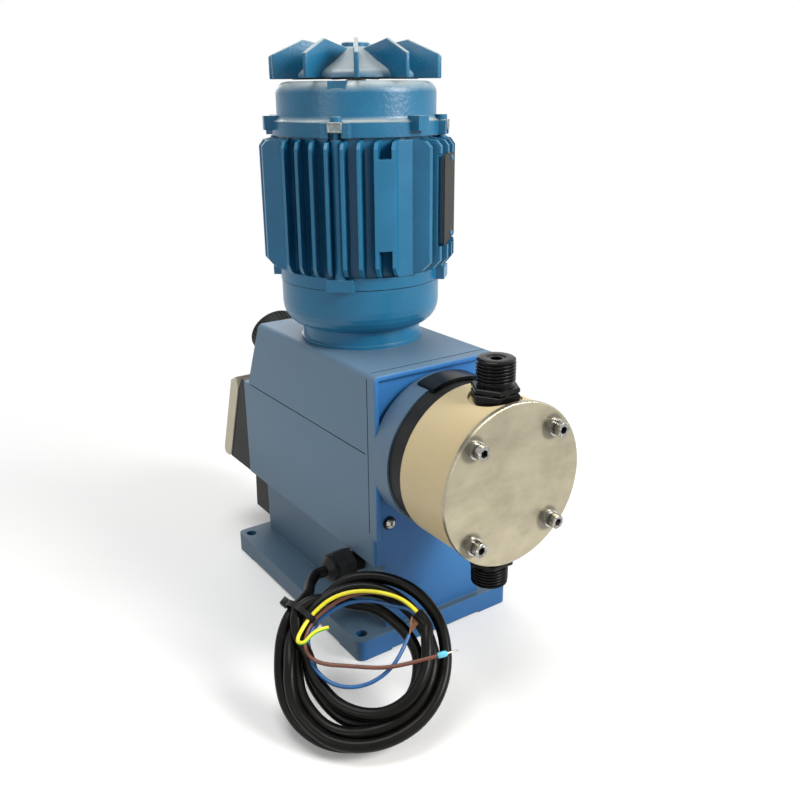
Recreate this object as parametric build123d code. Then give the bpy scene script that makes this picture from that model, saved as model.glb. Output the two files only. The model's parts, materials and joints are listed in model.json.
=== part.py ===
"""Motor-driven diaphragm metering pump, written as one STEP file per piece.

Frame: millimetres, +Z up, origin at the centre of the four foot holes on the
mounting plane. The liquid end points along -Y and the motor stands on +Z.
"""
from build123d import *
import math
import os

# ---- Foot and gear housing -------------------------------------------------
foot_length = 218.0
foot_width = 148.0
foot_thickness = 17.0
foot_corner_radius = 6.0
foot_pad_size = 30.0
foot_pad_height = 1.2
foot_hole_spacing_x = 130.0
foot_hole_spacing_y = 196.0
foot_hole_radius = 4.5
pedestal_half_width = 46.0
pedestal_rear_y = 96.0
pedestal_wall = 6.0
box_half_width = 55.0
box_bottom_z = 74.0
box_rear_y = 113.0
box_wall = 5.0
wall_front_y = -103.0
wall_thickness = 10.0
split_z = 164.0
oil_box_half_width = 40.0
oil_box_wall = 9.0
oil_box_bottom_z = 112.0
oil_box_rear_y = 96.0
oil_box_top_z = 211.0

# ---- Hood and bezel --------------------------------------------------------
hood_top_z = 226.0
hood_wall = 3.0
hood_rear_bottom_y = 104.0
hood_rear_top_y = 74.0
hood_edge_radius = 4.0
hood_gap = 0.5
bezel_rear_y = -97.0
bezel_front_y = -107.0
bezel_bottom_z = 97.0
bezel_lip = 3.5

# ---- Liquid end ------------------------------------------------------------
head_axis_z = 162.5
lantern_radius = 58.0
lantern_bore_radius = 45.0
lantern_length = 23.0
lantern_register_radius = 51.0
back_ring_radius = 56.5
back_ring_bore_radius = 42.0
back_ring_length = 16.0
head_radius = 58.0
head_length = 48.0
end_plate_radius = 59.0
end_plate_thickness = 3.5
head_bolt_circle_radius = 49.0
head_screw_radius = 3.0
head_screw_hole_radius = 3.3
head_screw_head_radius = 5.0
head_screw_head_height = 6.0
head_screw_socket_radius = 2.9
head_washer_radius = 6.2
head_washer_thickness = 1.6
diaphragm_radius = 52.0
diaphragm_thickness = 3.0
bead_radius = 40.0
bead_width = 6.0
bead_height = 1.5
core_radius = 26.0
core_thickness = 6.0
core_stud_length = 10.0
core_stud_radius = 4.0
chamber_radius = 38.0
chamber_depth = 8.0
channel_radius = 5.0
cap_half_angle = 22.0
cap_thickness = 2.0

# ---- Valves ----------------------------------------------------------------
valve_axis_y = -170.5
thread_radius = 13.22
thread_length = 19.0
valve_bore_radius = 4.0
valve_hex_width = 30.0
valve_hex_height = 10.0
valve_insert_radius = 12.9
valve_insert_length = 28.0
spot_face_height = 54.0
spot_face_radius = 18.5
seal_thickness = 1.5
seal_outer_radius = 14.8
cage_radius = 7.5
cage_length = 16.5
seat_thickness = 4.0
seat_hole_radius = 4.5
ball_radius = 5.5

# ---- Motor -----------------------------------------------------------------
motor_axis_y = -4.0
motor_turn = -135.0
body_bottom_z = 275.0
body_length = 107.0
body_top_z = body_bottom_z + body_length
body_radius = 60.0
body_bore_radius = 53.0
body_ring_radius = 62.5
body_ring_height = 9.0
fin_radius = 74.0
fin_bottom_z = body_bottom_z + 13.0
fin_top_z = body_top_z - 1.0
fin_thickness = 2.4
fin_pitch = 11.3
fins_per_face = 8
fin_end_rise = 5.0
tie_bolt_radius = 64.0
tie_rod_radius = 2.5
tie_ridge_radius = 4.2
pad_bottom_z = fin_bottom_z + 17.0
pad_top_z = fin_top_z - 13.0
shield_radius = 63.5
dome_radius = 59.5
dome_seat_z = body_top_z + 10.0
dome_top_z = dome_seat_z + 27.0
dome_wall = 4.0
dome_shoulder_radius = 13.0
bell_radius = 62.0
bell_straight_z = body_bottom_z - 18.0
bell_foot_z = bell_straight_z - 17.5
neck_radius = 47.0
neck_lip_radius = 48.6
neck_lip_height = 2.5
neck_wall = 3.0
neck_floor_thickness = 6.0
spigot_radius = 35.0
spigot_bottom_z = 213.0
flange_screw_radius = 2.5
flange_screw_head_radius = 4.2
lug_width = 20.0
lug_radius = 68.5
cowl_tab_radius = 70.0
cowl_tab_width = 10.0
cowl_tab_angles = (-80.0, 28.0, 160.0)
shaft_radius = 7.5
motor_bearing_radius = 17.5
motor_bearing_width = 11.0
upper_bearing_z = dome_seat_z + 6.0
lower_bearing_z = bell_straight_z - 5.0
stator_bottom_z = body_bottom_z + 25.0
stator_length = 60.0
rotor_radius = 31.6
air_gap = 0.4
winding_height = 15.0
fan_bottom_z = dome_top_z + 2.0
fan_radius = 64.9
fan_tip_height = 16.0
fan_peak_radius = 41.6
fan_peak_height = 26.0
fan_root_height = 20.5
fan_hub_radius = 9.6
fan_hub_height = 23.0
fan_cone_radius = 39.0
fan_cone_height = 15.0
fan_blade_thickness = 2.0
fan_blade_count = 11
fan_first_blade_angle = -121.4
retainer_radius = 6.6
retainer_height = 2.0
plate_width = 58.0
plate_seat_width = 46.0
plate_gap = 4.0
plate_height = pad_top_z - pad_bottom_z + 2.0
plate_thickness = 1.0
plate_face_distance = 70.0

# ---- Drive -----------------------------------------------------------------
gear_module = 2.0
wheel_teeth = 30
worm_starts = 2
worm_pitch_radius = 10.0
worm_length = 40.0
worm_bore_radius = 5.5
wheel_width = 10.0
tooth_backlash = 1.0
tooth_addendum = 1.6
tooth_dedendum = 2.4
pressure_angle = 22.0
shaft_half_length = 40.0
journal_radius = 7.5
hub_radius = 16.0
cam_radius = 16.0
cam_throw = 2.0
cam_inner_x = 9.0
cam_width = 9.0
gear_bearing_radius = 16.0
gear_bearing_width = 9.0
bearing_cap_radius = 20.0
bearing_cap_thickness = 3.0

# ---- Push rod --------------------------------------------------------------
stroke = 4.0
frame_half_width = 25.0
frame_wall = 4.0
frame_half_height = 16.0
frame_front_y = -33.0
frame_front_thickness = 9.0
frame_rear_y = 78.0
frame_rear_thickness = 5.0
stop_top_z = 192.0
push_pad_depth = 7.0
rod_radius = 7.0
bush_radius = 14.0
bush_length = 18.0
collar_radius = 17.0
collar_width = 4.0
collar_rear_y = -44.0
spring_wire_radius = 1.5
spring_mean_radius = 13.5
spring_turns = 5.0

# ---- Stroke adjuster -------------------------------------------------------
adjuster_x = -20.0
adjuster_along_slope = 32.0
spindle_radius = 5.0
spindle_outer_end = 20.0
guide_radius = 9.0
guide_outer_end = 12.0
knob_radius = 23.0
knob_bottom = 1.0
knob_top = 30.0
knob_bore_depth = 26.0
knob_rib_count = 36
knob_rib_radius = 0.9

# ---- Terminal box ----------------------------------------------------------
terminal_half_width = 54.0
terminal_wall = 3.0
terminal_bottom_z = 73.5
terminal_top_z = 164.0
terminal_rear_low_y = 158.5
terminal_rear_high_y = 129.0
plinth_half_width = 46.0
plinth_bottom_z = 32.0
plinth_rear_y = 123.0
lid_thickness = 15.0
lid_edge_radius = 5.0
lid_wall = 2.5
lid_screw_radius = 2.5

# ---- Cable gland and cable -------------------------------------------------
gland_y = -67.0
gland_z = 61.5
gland_hex_width = 24.0
gland_neck_length = 10.0
gland_base_length = 7.0
gland_nut_length = 8.0
gland_dome_length = 7.0
gland_thread_radius = 8.0
cable_radius = 4.3
core_cable_radius = 1.4
core_spread = 1.75
coil_centre = Vector(-99.8, -152.5, 43.9)
coil_ring_radius = 53.5
coil_bundle_radius = 11.6
coil_right = Vector(0.758, -0.653, 0.0)
coil_up = Vector(0.525, 0.610, 0.594)
tie_angle = 143.0
tie_width = 4.0
tie_thickness = 1.2

# ---- Clearances ------------------------------------------------------------
running_clearance = 0.05
loose_clearance = 0.3
hole_clearance = 0.5

# ---- Derived places --------------------------------------------------------
lantern_front_y = wall_front_y - lantern_length
ring_front_y = lantern_front_y - back_ring_length
head_front_y = ring_front_y - head_length
plate_front_y = head_front_y - end_plate_thickness
wheel_pitch_radius = gear_module * wheel_teeth / 2
wheel_axis_y = motor_axis_y + worm_pitch_radius + wheel_pitch_radius
worm_lead = math.pi * gear_module * worm_starts
lead_angle = math.degrees(math.atan(worm_lead / (2 * math.pi * worm_pitch_radius)))
wall_inner_y = wall_front_y + wall_thickness
oil_box_inner_half_width = oil_box_half_width - oil_box_wall
hood_slope = (hood_rear_bottom_y - hood_rear_top_y) / (hood_top_z - split_z)
slope_length = math.hypot(1.0, hood_slope)
adjuster_axis = Vector(0, 1.0, hood_slope) / slope_length
adjuster_foot = Vector(
    adjuster_x,
    hood_rear_bottom_y - adjuster_along_slope * hood_slope / slope_length,
    split_z + adjuster_along_slope / slope_length,
)


def upright(radius, z_low, z_high, x=0.0, y=0.0):
    """Cylinder along Z."""
    return Pos(x, y, (z_low + z_high) / 2) * Cylinder(radius, z_high - z_low)


def motor_disc(radius, z_low, z_high):
    """Cylinder on the motor axis."""
    return upright(radius, z_low, z_high, 0, motor_axis_y)


def head_disc(radius, y_front, y_rear, x=0.0, z=head_axis_z):
    """Cylinder along Y, on the liquid end's axis unless moved."""
    centre = Pos(x, (y_front + y_rear) / 2, z)
    return centre * Rot(90, 0, 0) * Cylinder(radius, y_rear - y_front)


def cross_disc(radius, x_low, x_high, y, z):
    """Cylinder along X."""
    return Pos((x_low + x_high) / 2, y, z) * Rot(0, 90, 0) * Cylinder(radius, x_high - x_low)


def block(x_low, x_high, y_low, y_high, z_low, z_high):
    """Box between two corners."""
    centre = Pos((x_low + x_high) / 2, (y_low + y_high) / 2, (z_low + z_high) / 2)
    return centre * Box(x_high - x_low, y_high - y_low, z_high - z_low)


def side_profile(points, x_low, x_high):
    """Prism along X over a closed outline given as (y, z) points."""
    outline = make_face(Polyline(*points, close=True))
    return Pos(x_low, 0, 0) * extrude(Plane.YZ * outline, x_high - x_low)


def spun(points, z_axis_y=motor_axis_y):
    """Solid of revolution about the motor axis over (radius, z) points."""
    outline = make_face(Polyline(*points, close=True))
    return Pos(0, z_axis_y, 0) * revolve(Plane.XZ * outline, Axis.Z)


def slope_y(z, offset):
    """Y of the hood's sloped rear face at height z, offset inward."""
    return hood_rear_bottom_y - (z - split_z) * hood_slope - offset * slope_length


def along_adjuster(radius, start, end):
    """Cylinder on the stroke adjuster's axis, measured from the hood's face."""
    base = Plane(origin=adjuster_foot + adjuster_axis * start, z_dir=adjuster_axis)
    return base * Pos(0, 0, (end - start) / 2) * Cylinder(radius, end - start)


def bolt_places():
    """(x, z) of the four head screws."""
    reach = head_bolt_circle_radius / math.sqrt(2)
    return [(sx * reach, head_axis_z + sz * reach) for sx in (-1, 1) for sz in (-1, 1)]


def foot_hole_places():
    """(x, y) of the four foot holes."""
    half_x = foot_hole_spacing_x / 2
    half_y = foot_hole_spacing_y / 2
    return [(sx * half_x, sy * half_y) for sx in (-1, 1) for sy in (-1, 1)]


def tie_bolt_places():
    """(x, y) of the four tie bolts round the motor."""
    places = []
    for quarter in range(4):
        angle = math.radians(motor_turn + 90 * quarter)
        x = tie_bolt_radius * math.cos(angle)
        places.append((x, motor_axis_y + tie_bolt_radius * math.sin(angle)))
    return places


def wall_screw_places():
    """(x, z) of the two screws in the front wall."""
    return [(side * wall_screw_x, wall_screw_z) for side in (-1, 1)]


wall_screw_x = 41.5
wall_screw_z = 108.0
wall_screw_radius = 2.5
wall_screw_head_radius = 4.2
wall_screw_head_height = 2.6
wall_screw_ring_radius = 5.2
wall_screw_ring_thickness = 1.0


# ---- Housing ---------------------------------------------------------------
def oil_box_outline(offset, wall):
    """(y, z) outline of the oil box, or of its cavity when wall is positive."""
    rear_y = oil_box_rear_y - wall
    bend_z = split_z + (hood_rear_bottom_y - offset * slope_length - rear_y) / hood_slope
    top_z = oil_box_top_z
    return [
        (wall_inner_y, oil_box_bottom_z + wall),
        (rear_y, oil_box_bottom_z + wall),
        (rear_y, bend_z),
        (slope_y(top_z, offset), top_z),
        (wall_inner_y, top_z),
    ]


def gear_housing():
    """Casting with the foot, pedestal, lower box, front wall and oil box."""
    foot = Pos(0, 0, foot_thickness / 2) * Box(foot_width, foot_length, foot_thickness)
    foot = fillet(foot.edges().filter_by(Axis.Z), foot_corner_radius)
    relief_x = foot_width / 2 - foot_pad_size
    relief_y = foot_length / 2 - foot_pad_size
    foot -= block(-relief_x, relief_x, -foot_length, foot_length, 0, foot_pad_height)
    foot -= block(-foot_width, foot_width, -relief_y, relief_y, 0, foot_pad_height)
    for x, y in foot_hole_places():
        foot -= upright(foot_hole_radius, -1, foot_thickness + 1, x, y)

    pedestal = block(-pedestal_half_width, pedestal_half_width, wall_front_y, pedestal_rear_y,
                     foot_pad_height, box_bottom_z + box_wall)
    lower_box = block(-box_half_width, box_half_width, bezel_rear_y, box_rear_y,
                      box_bottom_z, split_z)
    apron = block(-box_half_width, box_half_width, wall_front_y, bezel_rear_y,
                  box_bottom_z, bezel_bottom_z)
    apron = fillet(apron.edges().filter_by(Axis.Z).sort_by(Axis.Y)[:2], 3)
    outside = foot + pedestal + lower_box + apron

    hollow_low = block(-pedestal_half_width + pedestal_wall, pedestal_half_width - pedestal_wall,
                       wall_inner_y, pedestal_rear_y - pedestal_wall,
                       foot_thickness / 2, box_bottom_z + box_wall)
    hollow_high = block(-box_half_width + box_wall, box_half_width - box_wall,
                        wall_inner_y, box_rear_y - box_wall, box_bottom_z + box_wall, split_z + 1)
    outside -= hollow_low + hollow_high

    wall_half_width = box_half_width - bezel_lip
    wall = block(-wall_half_width, wall_half_width, wall_front_y, wall_inner_y,
                 box_bottom_z, hood_top_z - bezel_lip)
    hood_relief = block(-wall_half_width, wall_half_width, bezel_rear_y, wall_inner_y,
                        split_z, hood_top_z)
    hood_relief -= block(-box_half_width + hood_wall + hood_gap, box_half_width - hood_wall - hood_gap,
                         bezel_rear_y, wall_inner_y, split_z, hood_top_z - hood_wall - hood_gap)
    wall -= hood_relief

    half = oil_box_half_width
    oil_box = side_profile(oil_box_outline(hood_wall + hood_gap, 0), -half, half)
    tower = motor_disc(neck_radius - 1, oil_box_top_z - 6, hood_top_z - hood_wall - 1)
    webs = block(-half, -half + 6, wall_inner_y, oil_box_rear_y, box_bottom_z, oil_box_bottom_z + 6)
    webs += block(half - 6, half, wall_inner_y, oil_box_rear_y, box_bottom_z, oil_box_bottom_z + 6)
    housing = outside + wall + oil_box + tower + webs

    inner = oil_box_inner_half_width
    cavity_outline = oil_box_outline(hood_wall + hood_gap + 4, 5)
    cavity_outline = [(y, min(z, oil_box_top_z - 5)) for y, z in cavity_outline]
    housing -= side_profile(cavity_outline, -inner, inner)
    housing -= motor_disc(spigot_radius + running_clearance, oil_box_top_z - 20, hood_top_z)
    for side in (-1, 1):
        low, high = sorted((side * (inner - 1), side * (half + 1)))
        housing -= cross_disc(gear_bearing_radius, low, high, wheel_axis_y, head_axis_z)
    housing -= head_disc(bush_radius, wall_front_y - 1, wall_inner_y + 1)
    housing -= along_adjuster(guide_radius, -16, 1)
    for x, z in bolt_places():
        housing -= head_disc(head_screw_radius, wall_front_y - 1, wall_inner_y - 1, x, z)
    for x, z in wall_screw_places():
        housing -= head_disc(wall_screw_radius, wall_front_y - 1, wall_inner_y - 1, x, z)
    housing -= cross_disc(gland_thread_radius, -pedestal_half_width - 1,
                          -pedestal_half_width + pedestal_wall + 1, gland_y, gland_z)
    for x, y in flange_screw_places():
        housing -= upright(flange_screw_radius, oil_box_top_z - 4, hood_top_z, x, y)
    return housing


def flange_screw_places():
    """(x, y) of the four screws that hold the motor down."""
    reach = (spigot_radius + neck_radius - neck_wall) / 2 / math.sqrt(2)
    return [(sx * reach, motor_axis_y + sy * reach) for sx in (-1, 1) for sy in (-1, 1)]


def top_hood():
    """Thin cover with a sloped rear and the motor opening."""
    outline = [
        (bezel_rear_y, split_z),
        (hood_rear_bottom_y, split_z),
        (hood_rear_top_y, hood_top_z),
        (bezel_rear_y, hood_top_z),
    ]
    hood = side_profile(outline, -box_half_width, box_half_width)
    long_edges = hood.edges().filter_by(Axis.Y).group_by(Axis.Z)[-1]
    hood = fillet(long_edges, hood_edge_radius)
    rear_low_y = slope_y(split_z, hood_wall)
    inner = [
        (bezel_rear_y - 1, split_z - 1),
        (rear_low_y + hood_slope, split_z - 1),
        (slope_y(hood_top_z - hood_wall, hood_wall), hood_top_z - hood_wall),
        (bezel_rear_y - 1, hood_top_z - hood_wall),
    ]
    hood -= side_profile(inner, -box_half_width + hood_wall, box_half_width - hood_wall)
    hood -= motor_disc(neck_radius + hole_clearance, hood_top_z - 20, hood_top_z + 1)
    hood -= along_adjuster(guide_radius, -16, 10)
    return hood


def front_bezel():
    """U-shaped frame over the front wall's edge."""
    bezel = block(-box_half_width, box_half_width, bezel_front_y, bezel_rear_y,
                  bezel_bottom_z, hood_top_z)
    bezel = fillet(bezel.edges().filter_by(Axis.Y).group_by(Axis.Z)[-1], hood_edge_radius)
    bezel = fillet(bezel.faces().sort_by(Axis.Y)[0].edges().sort_by(Axis.Z)[1:], 1.0)
    opening_half = box_half_width - bezel_lip
    opening = block(-opening_half, opening_half, bezel_front_y - 1, bezel_rear_y + 1,
                    bezel_bottom_z - 1, hood_top_z - bezel_lip)
    return bezel - opening


def wall_screws():
    """Pan-head screws in the front wall."""
    front_y = wall_front_y - wall_screw_ring_thickness
    screws = []
    for x, z in wall_screw_places():
        screw = head_disc(wall_screw_head_radius, front_y - wall_screw_head_height, front_y, x, z)
        screw = fillet(screw.edges().sort_by(Axis.Y)[:1], 1.2)
        screws.append(screw + head_disc(wall_screw_radius, front_y, wall_inner_y - 2, x, z))
    return Compound(children=screws)


def wall_screw_rings():
    """Black rings under the wall screws' heads."""
    front_y = wall_front_y - wall_screw_ring_thickness
    rings = []
    for x, z in wall_screw_places():
        ring = head_disc(wall_screw_ring_radius, front_y, wall_front_y, x, z)
        rings.append(ring - head_disc(wall_screw_radius, front_y, wall_front_y, x, z))
    return Compound(children=rings)


# ---- Liquid end ------------------------------------------------------------
def screw_holes(y_front, y_rear):
    """Clearance holes for the head screws through one disc."""
    holes = None
    for x, z in bolt_places():
        hole = head_disc(head_screw_hole_radius, y_front - 1, y_rear + 1, x, z)
        holes = hole if holes is None else holes + hole
    return holes


def lantern():
    """Spacer ring between the front wall and the back ring."""
    ring = head_disc(lantern_radius, lantern_front_y, bezel_front_y)
    ring += head_disc(lantern_register_radius, bezel_front_y, wall_front_y)
    ring -= head_disc(lantern_bore_radius, lantern_front_y - 1, bezel_front_y)
    ring -= head_disc(bush_radius, lantern_front_y - 1, wall_front_y + 1)
    return ring - screw_holes(lantern_front_y, wall_front_y)


def lantern_cap():
    """Curved cover on the crown of the lantern."""
    outer = lantern_radius + cap_thickness
    cap = head_disc(outer, lantern_front_y - 6, wall_front_y - 10)
    cap -= head_disc(lantern_radius, lantern_front_y - 7, wall_front_y)
    reach = outer * math.sin(math.radians(cap_half_angle))
    top = head_axis_z + outer
    keep = block(-reach, reach, head_front_y, wall_front_y, head_axis_z + outer / 2, top + 1)
    return cap & keep


def back_ring():
    """Black backing ring that clamps the diaphragm against the head."""
    ring = head_disc(back_ring_radius, ring_front_y, lantern_front_y)
    ring -= head_disc(back_ring_bore_radius, ring_front_y - 1, lantern_front_y + 1)
    ring -= head_disc(diaphragm_radius, ring_front_y - 1, ring_front_y + diaphragm_thickness)
    return ring - screw_holes(ring_front_y, lantern_front_y)


def diaphragm():
    """Flexible disc with its four screw holes outside the rim."""
    disc = head_disc(diaphragm_radius, ring_front_y, ring_front_y + diaphragm_thickness)
    rear_y = ring_front_y + diaphragm_thickness
    bead = head_disc(bead_radius, rear_y, rear_y + bead_height)
    bead -= head_disc(bead_radius - bead_width, rear_y - 1, rear_y + bead_height + 1)
    return disc + bead - screw_holes(ring_front_y, ring_front_y + diaphragm_thickness)


def diaphragm_core():
    """Metal core behind the diaphragm, screwed on the push rod."""
    front_y = ring_front_y + diaphragm_thickness
    core = head_disc(core_radius, front_y, front_y + core_thickness)
    core = fillet(core.edges().sort_by(Axis.Y)[-1:], 2)
    return core + head_disc(core_stud_radius, front_y, front_y + core_thickness + core_stud_length)


def dosing_head():
    """Round plastic head with the pump chamber, valve bores and flats."""
    head = head_disc(head_radius, head_front_y, ring_front_y)
    flat_z = spot_face_height
    for side in (-1, 1):
        flat = upright(spot_face_radius, flat_z, head_radius + 10, 0, valve_axis_y)
        head -= Pos(0, 0, head_axis_z) * Rot(0, 90 - side * 90, 0) * flat
        bore = upright(valve_insert_radius + running_clearance, flat_z - valve_insert_length,
                       head_radius + 10, 0, valve_axis_y)
        head -= Pos(0, 0, head_axis_z) * Rot(0, 90 - side * 90, 0) * bore
    head -= upright(channel_radius, head_axis_z - flat_z, head_axis_z + flat_z, 0, valve_axis_y)
    head -= head_disc(channel_radius, valve_axis_y, ring_front_y)
    outline = make_face(Polyline((0, 0), (chamber_radius, 0), (chamber_radius * 0.6, -chamber_depth * 0.8),
                                 (0, -chamber_depth), close=True))
    chamber = revolve(Plane.XY * outline, Axis.Y)
    head -= Pos(0, ring_front_y, head_axis_z) * chamber
    head = head - screw_holes(head_front_y, ring_front_y)
    return head


def end_plate():
    """Stainless cover plate on the head."""
    plate = head_disc(end_plate_radius, plate_front_y, head_front_y)
    plate = fillet(plate.edges().sort_by(Axis.Y)[:1], 0.8)
    return plate - screw_holes(plate_front_y, head_front_y)


def head_washers():
    """Washers under the head screws."""
    front_y = plate_front_y - head_washer_thickness
    washers = []
    for x, z in bolt_places():
        washer = head_disc(head_washer_radius, front_y, plate_front_y, x, z)
        washers.append(washer - head_disc(head_screw_hole_radius, front_y, plate_front_y, x, z))
    return Compound(children=washers)


def head_screws():
    """Socket-head screws through the whole liquid end into the front wall."""
    seat_y = plate_front_y - head_washer_thickness
    top_y = seat_y - head_screw_head_height
    screws = []
    for x, z in bolt_places():
        screw = head_disc(head_screw_head_radius, top_y, seat_y, x, z)
        screw = fillet(screw.edges().sort_by(Axis.Y)[:1], 0.8)
        socket = Plane(origin=(x, top_y, z), x_dir=(1, 0, 0), z_dir=(0, 1, 0)) * RegularPolygon(
            head_screw_socket_radius, 6)
        screw -= extrude(socket, 3.2)
        screws.append(screw + head_disc(head_screw_radius, seat_y, wall_inner_y - 2, x, z))
    return Compound(children=screws)


# ---- Valves: drawn pointing up from the head's axis, then placed ------------
def placed_valve(shape, side):
    """Move a valve piece drawn upright to the top (side 1) or bottom (-1)."""
    return Pos(0, valve_axis_y, head_axis_z) * Rot(0, 90 - side * 90, 0) * shape


def valve_body(side):
    """Hex body with an outside thread, a ball cage and a flow bore."""
    insert_low = spot_face_height - valve_insert_length
    hex_low = spot_face_height + seal_thickness
    hex_high = hex_low + valve_hex_height
    top = hex_high + thread_length
    body = upright(valve_insert_radius, insert_low, hex_low)
    hexagon = Rot(0, 0, 30) * RegularPolygon(valve_hex_width / math.sqrt(3), 6)
    body += Pos(0, 0, hex_low) * extrude(hexagon, valve_hex_height)
    groove_z = hex_low + valve_hex_height * 0.62
    groove = upright(valve_hex_width, groove_z - 0.6, groove_z + 0.6)
    body -= groove - upright(valve_hex_width / 2 - 1, groove_z - 1, groove_z + 1)
    stem = upright(thread_radius, hex_high, top)
    body += chamfer(stem.edges().sort_by(Axis.Z)[-1:], 1.2)
    body -= upright(valve_bore_radius, insert_low - 1, top + 1)
    if side > 0:
        body -= upright(cage_radius, insert_low - 1, insert_low + cage_length)
        for turn in (0, 90):
            slot = Pos(0, 0, insert_low + cage_length + 2) * Rot(0, 0, turn)
            body -= slot * Box(2 * cage_radius - 2, 2.5, 4)
    else:
        body -= upright(cage_radius, insert_low - 1, insert_low + cage_length)
    return placed_valve(body, side)


def seat_low(side):
    """Height of a seat ring's lower face above or below the head's axis."""
    insert_low = spot_face_height - valve_insert_length
    if side > 0:
        return insert_low
    return -insert_low - cage_length


def valve_seat(side):
    """Ceramic seat ring inside the cage, always below its ball."""
    low = seat_low(side)
    ring = upright(cage_radius - running_clearance, low, low + seat_thickness)
    ring -= upright(seat_hole_radius, low - 1, low + seat_thickness + 1)
    return Pos(0, valve_axis_y, head_axis_z) * ring


def valve_ball(side):
    """Ball resting in its seat."""
    drop = math.sqrt(ball_radius ** 2 - seat_hole_radius ** 2)
    centre = seat_low(side) + seat_thickness + drop + 0.02
    return Pos(0, valve_axis_y, head_axis_z + centre) * Sphere(ball_radius)


def valve_seal(side):
    """Flat ring between the head's spot face and the hex."""
    ring = upright(seal_outer_radius, spot_face_height, spot_face_height + seal_thickness)
    ring -= upright(valve_insert_radius, spot_face_height - 1, spot_face_height + seal_thickness + 1)
    return placed_valve(ring, side)


# ---- Motor -----------------------------------------------------------------
def face_frame(quarter):
    """Plane on the motor axis whose X points out of one finned face."""
    return Pos(0, motor_axis_y, 0) * Rot(0, 0, motor_turn + 90 * quarter)


def fin_offsets():
    """Sideways places of the fins on one face."""
    return [(i - (fins_per_face - 1) / 2) * fin_pitch for i in range(fins_per_face)]


def motor_body():
    """Cast stator housing with four groups of parallel fins."""
    body = motor_disc(body_radius, body_bottom_z, body_top_z)
    body += motor_disc(body_ring_radius, body_bottom_z, body_bottom_z + body_ring_height)
    envelope = spun([
        (body_radius - 6, fin_bottom_z - fin_end_rise),
        (body_radius, fin_bottom_z - fin_end_rise),
        (fin_radius - 5, fin_bottom_z - 1),
        (fin_radius, fin_bottom_z + 5),
        (fin_radius, fin_top_z - 6),
        (fin_radius - 3, fin_top_z - 2),
        (body_radius, fin_top_z),
        (body_radius - 6, fin_top_z),
    ])
    plates = None
    for quarter in range(4):
        for offset in fin_offsets():
            plate = block(body_radius * 0.55, fin_radius + 1, offset - fin_thickness / 2,
                          offset + fin_thickness / 2, fin_bottom_z - 10, fin_top_z + 1)
            plate = face_frame(quarter) * plate
            plates = plate if plates is None else plates + plate
    fins = plates & envelope
    outer_offset = fin_offsets()[-1]
    pad_offset = fin_offsets()[-2]
    pad = block(body_radius * 0.55, fin_radius, pad_offset, outer_offset, pad_bottom_z, pad_top_z)
    fins += (face_frame(0) * pad) & envelope
    for quarter in range(4):
        frame = face_frame(quarter)
        body += frame * upright(tie_ridge_radius, body_bottom_z, fin_top_z, tie_bolt_radius)
        lug = block(body_radius - 4, lug_radius, -lug_width / 2, lug_width / 2,
                    body_bottom_z, body_bottom_z + body_ring_height)
        body += frame * lug
        corner = Rot(0, 0, 45) * block(body_radius - 8, body_radius + 3.5, -7, 7,
                                       fin_bottom_z - 4, fin_top_z - 1)
        body += frame * corner
    body += fins
    pad_frame = face_frame(1)
    plate_seat = block(body_radius - 10, plate_face_distance, -plate_seat_width / 2, plate_seat_width / 2,
                       (pad_bottom_z + pad_top_z - plate_height) / 2 + 1,
                       (pad_bottom_z + pad_top_z + plate_height) / 2 - 1)
    window = block(plate_face_distance - plate_gap, fin_radius + 5, -plate_width / 2 - 2, plate_width / 2 + 2,
                   (pad_bottom_z + pad_top_z - plate_height) / 2 - 0.6,
                   (pad_bottom_z + pad_top_z + plate_height) / 2 + 0.6)
    body -= pad_frame * window
    body += pad_frame * plate_seat
    body -= motor_disc(body_bore_radius, body_bottom_z - 1, body_top_z + 1)
    for x, y in tie_bolt_places():
        body -= upright(tie_rod_radius, body_bottom_z - 1, body_top_z + 1, x, y)
    return body


def upper_shield():
    """Dome-shaped end shield with lugs, cowl tabs and the bearing seat."""
    shoulder = dome_shoulder_radius
    inner = dome_radius - dome_wall
    seat_top = upper_bearing_z + motor_bearing_width
    points = [
        (shield_radius, body_top_z),
        (shield_radius, dome_seat_z),
        (dome_radius, dome_seat_z),
        (dome_radius, dome_top_z - shoulder),
        (dome_radius - shoulder * 0.13, dome_top_z - shoulder * 0.5),
        (dome_radius - shoulder * 0.5, dome_top_z - shoulder * 0.13),
        (dome_radius - shoulder, dome_top_z),
        (shaft_radius + 1, dome_top_z),
        (shaft_radius + 1, seat_top),
        (motor_bearing_radius, seat_top),
        (motor_bearing_radius, upper_bearing_z),
        (motor_bearing_radius + 5, upper_bearing_z),
        (motor_bearing_radius + 5, dome_top_z - dome_wall),
        (inner - shoulder, dome_top_z - dome_wall),
        (inner, dome_top_z - shoulder - dome_wall / 2),
        (inner, body_top_z),
    ]
    shield = spun(points)
    for quarter in range(4):
        lug = block(dome_radius - 3, lug_radius, -lug_width / 2, lug_width / 2, body_top_z, dome_seat_z)
        notch = block(dome_radius + 1.5, lug_radius + 1, -lug_width / 4, lug_width / 4,
                      body_top_z - 1, dome_seat_z - 6)
        shield += face_frame(quarter) * (lug - notch)
    for angle in cowl_tab_angles:
        frame = Pos(0, motor_axis_y, 0) * Rot(0, 0, angle)
        half = cowl_tab_width / 2
        shield += frame * block(dome_radius - 3, cowl_tab_radius, -half, half,
                                dome_seat_z - 6, dome_seat_z + 4)
    boss = block(dome_radius - 14, dome_radius - 0.5, -6.5, 6.5, dome_top_z - 7, dome_top_z)
    shield += face_frame(0) * boss
    for x, y in tie_bolt_places():
        shield -= upright(tie_rod_radius, body_top_z - 1, dome_seat_z + 1, x, y)
    return shield


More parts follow.
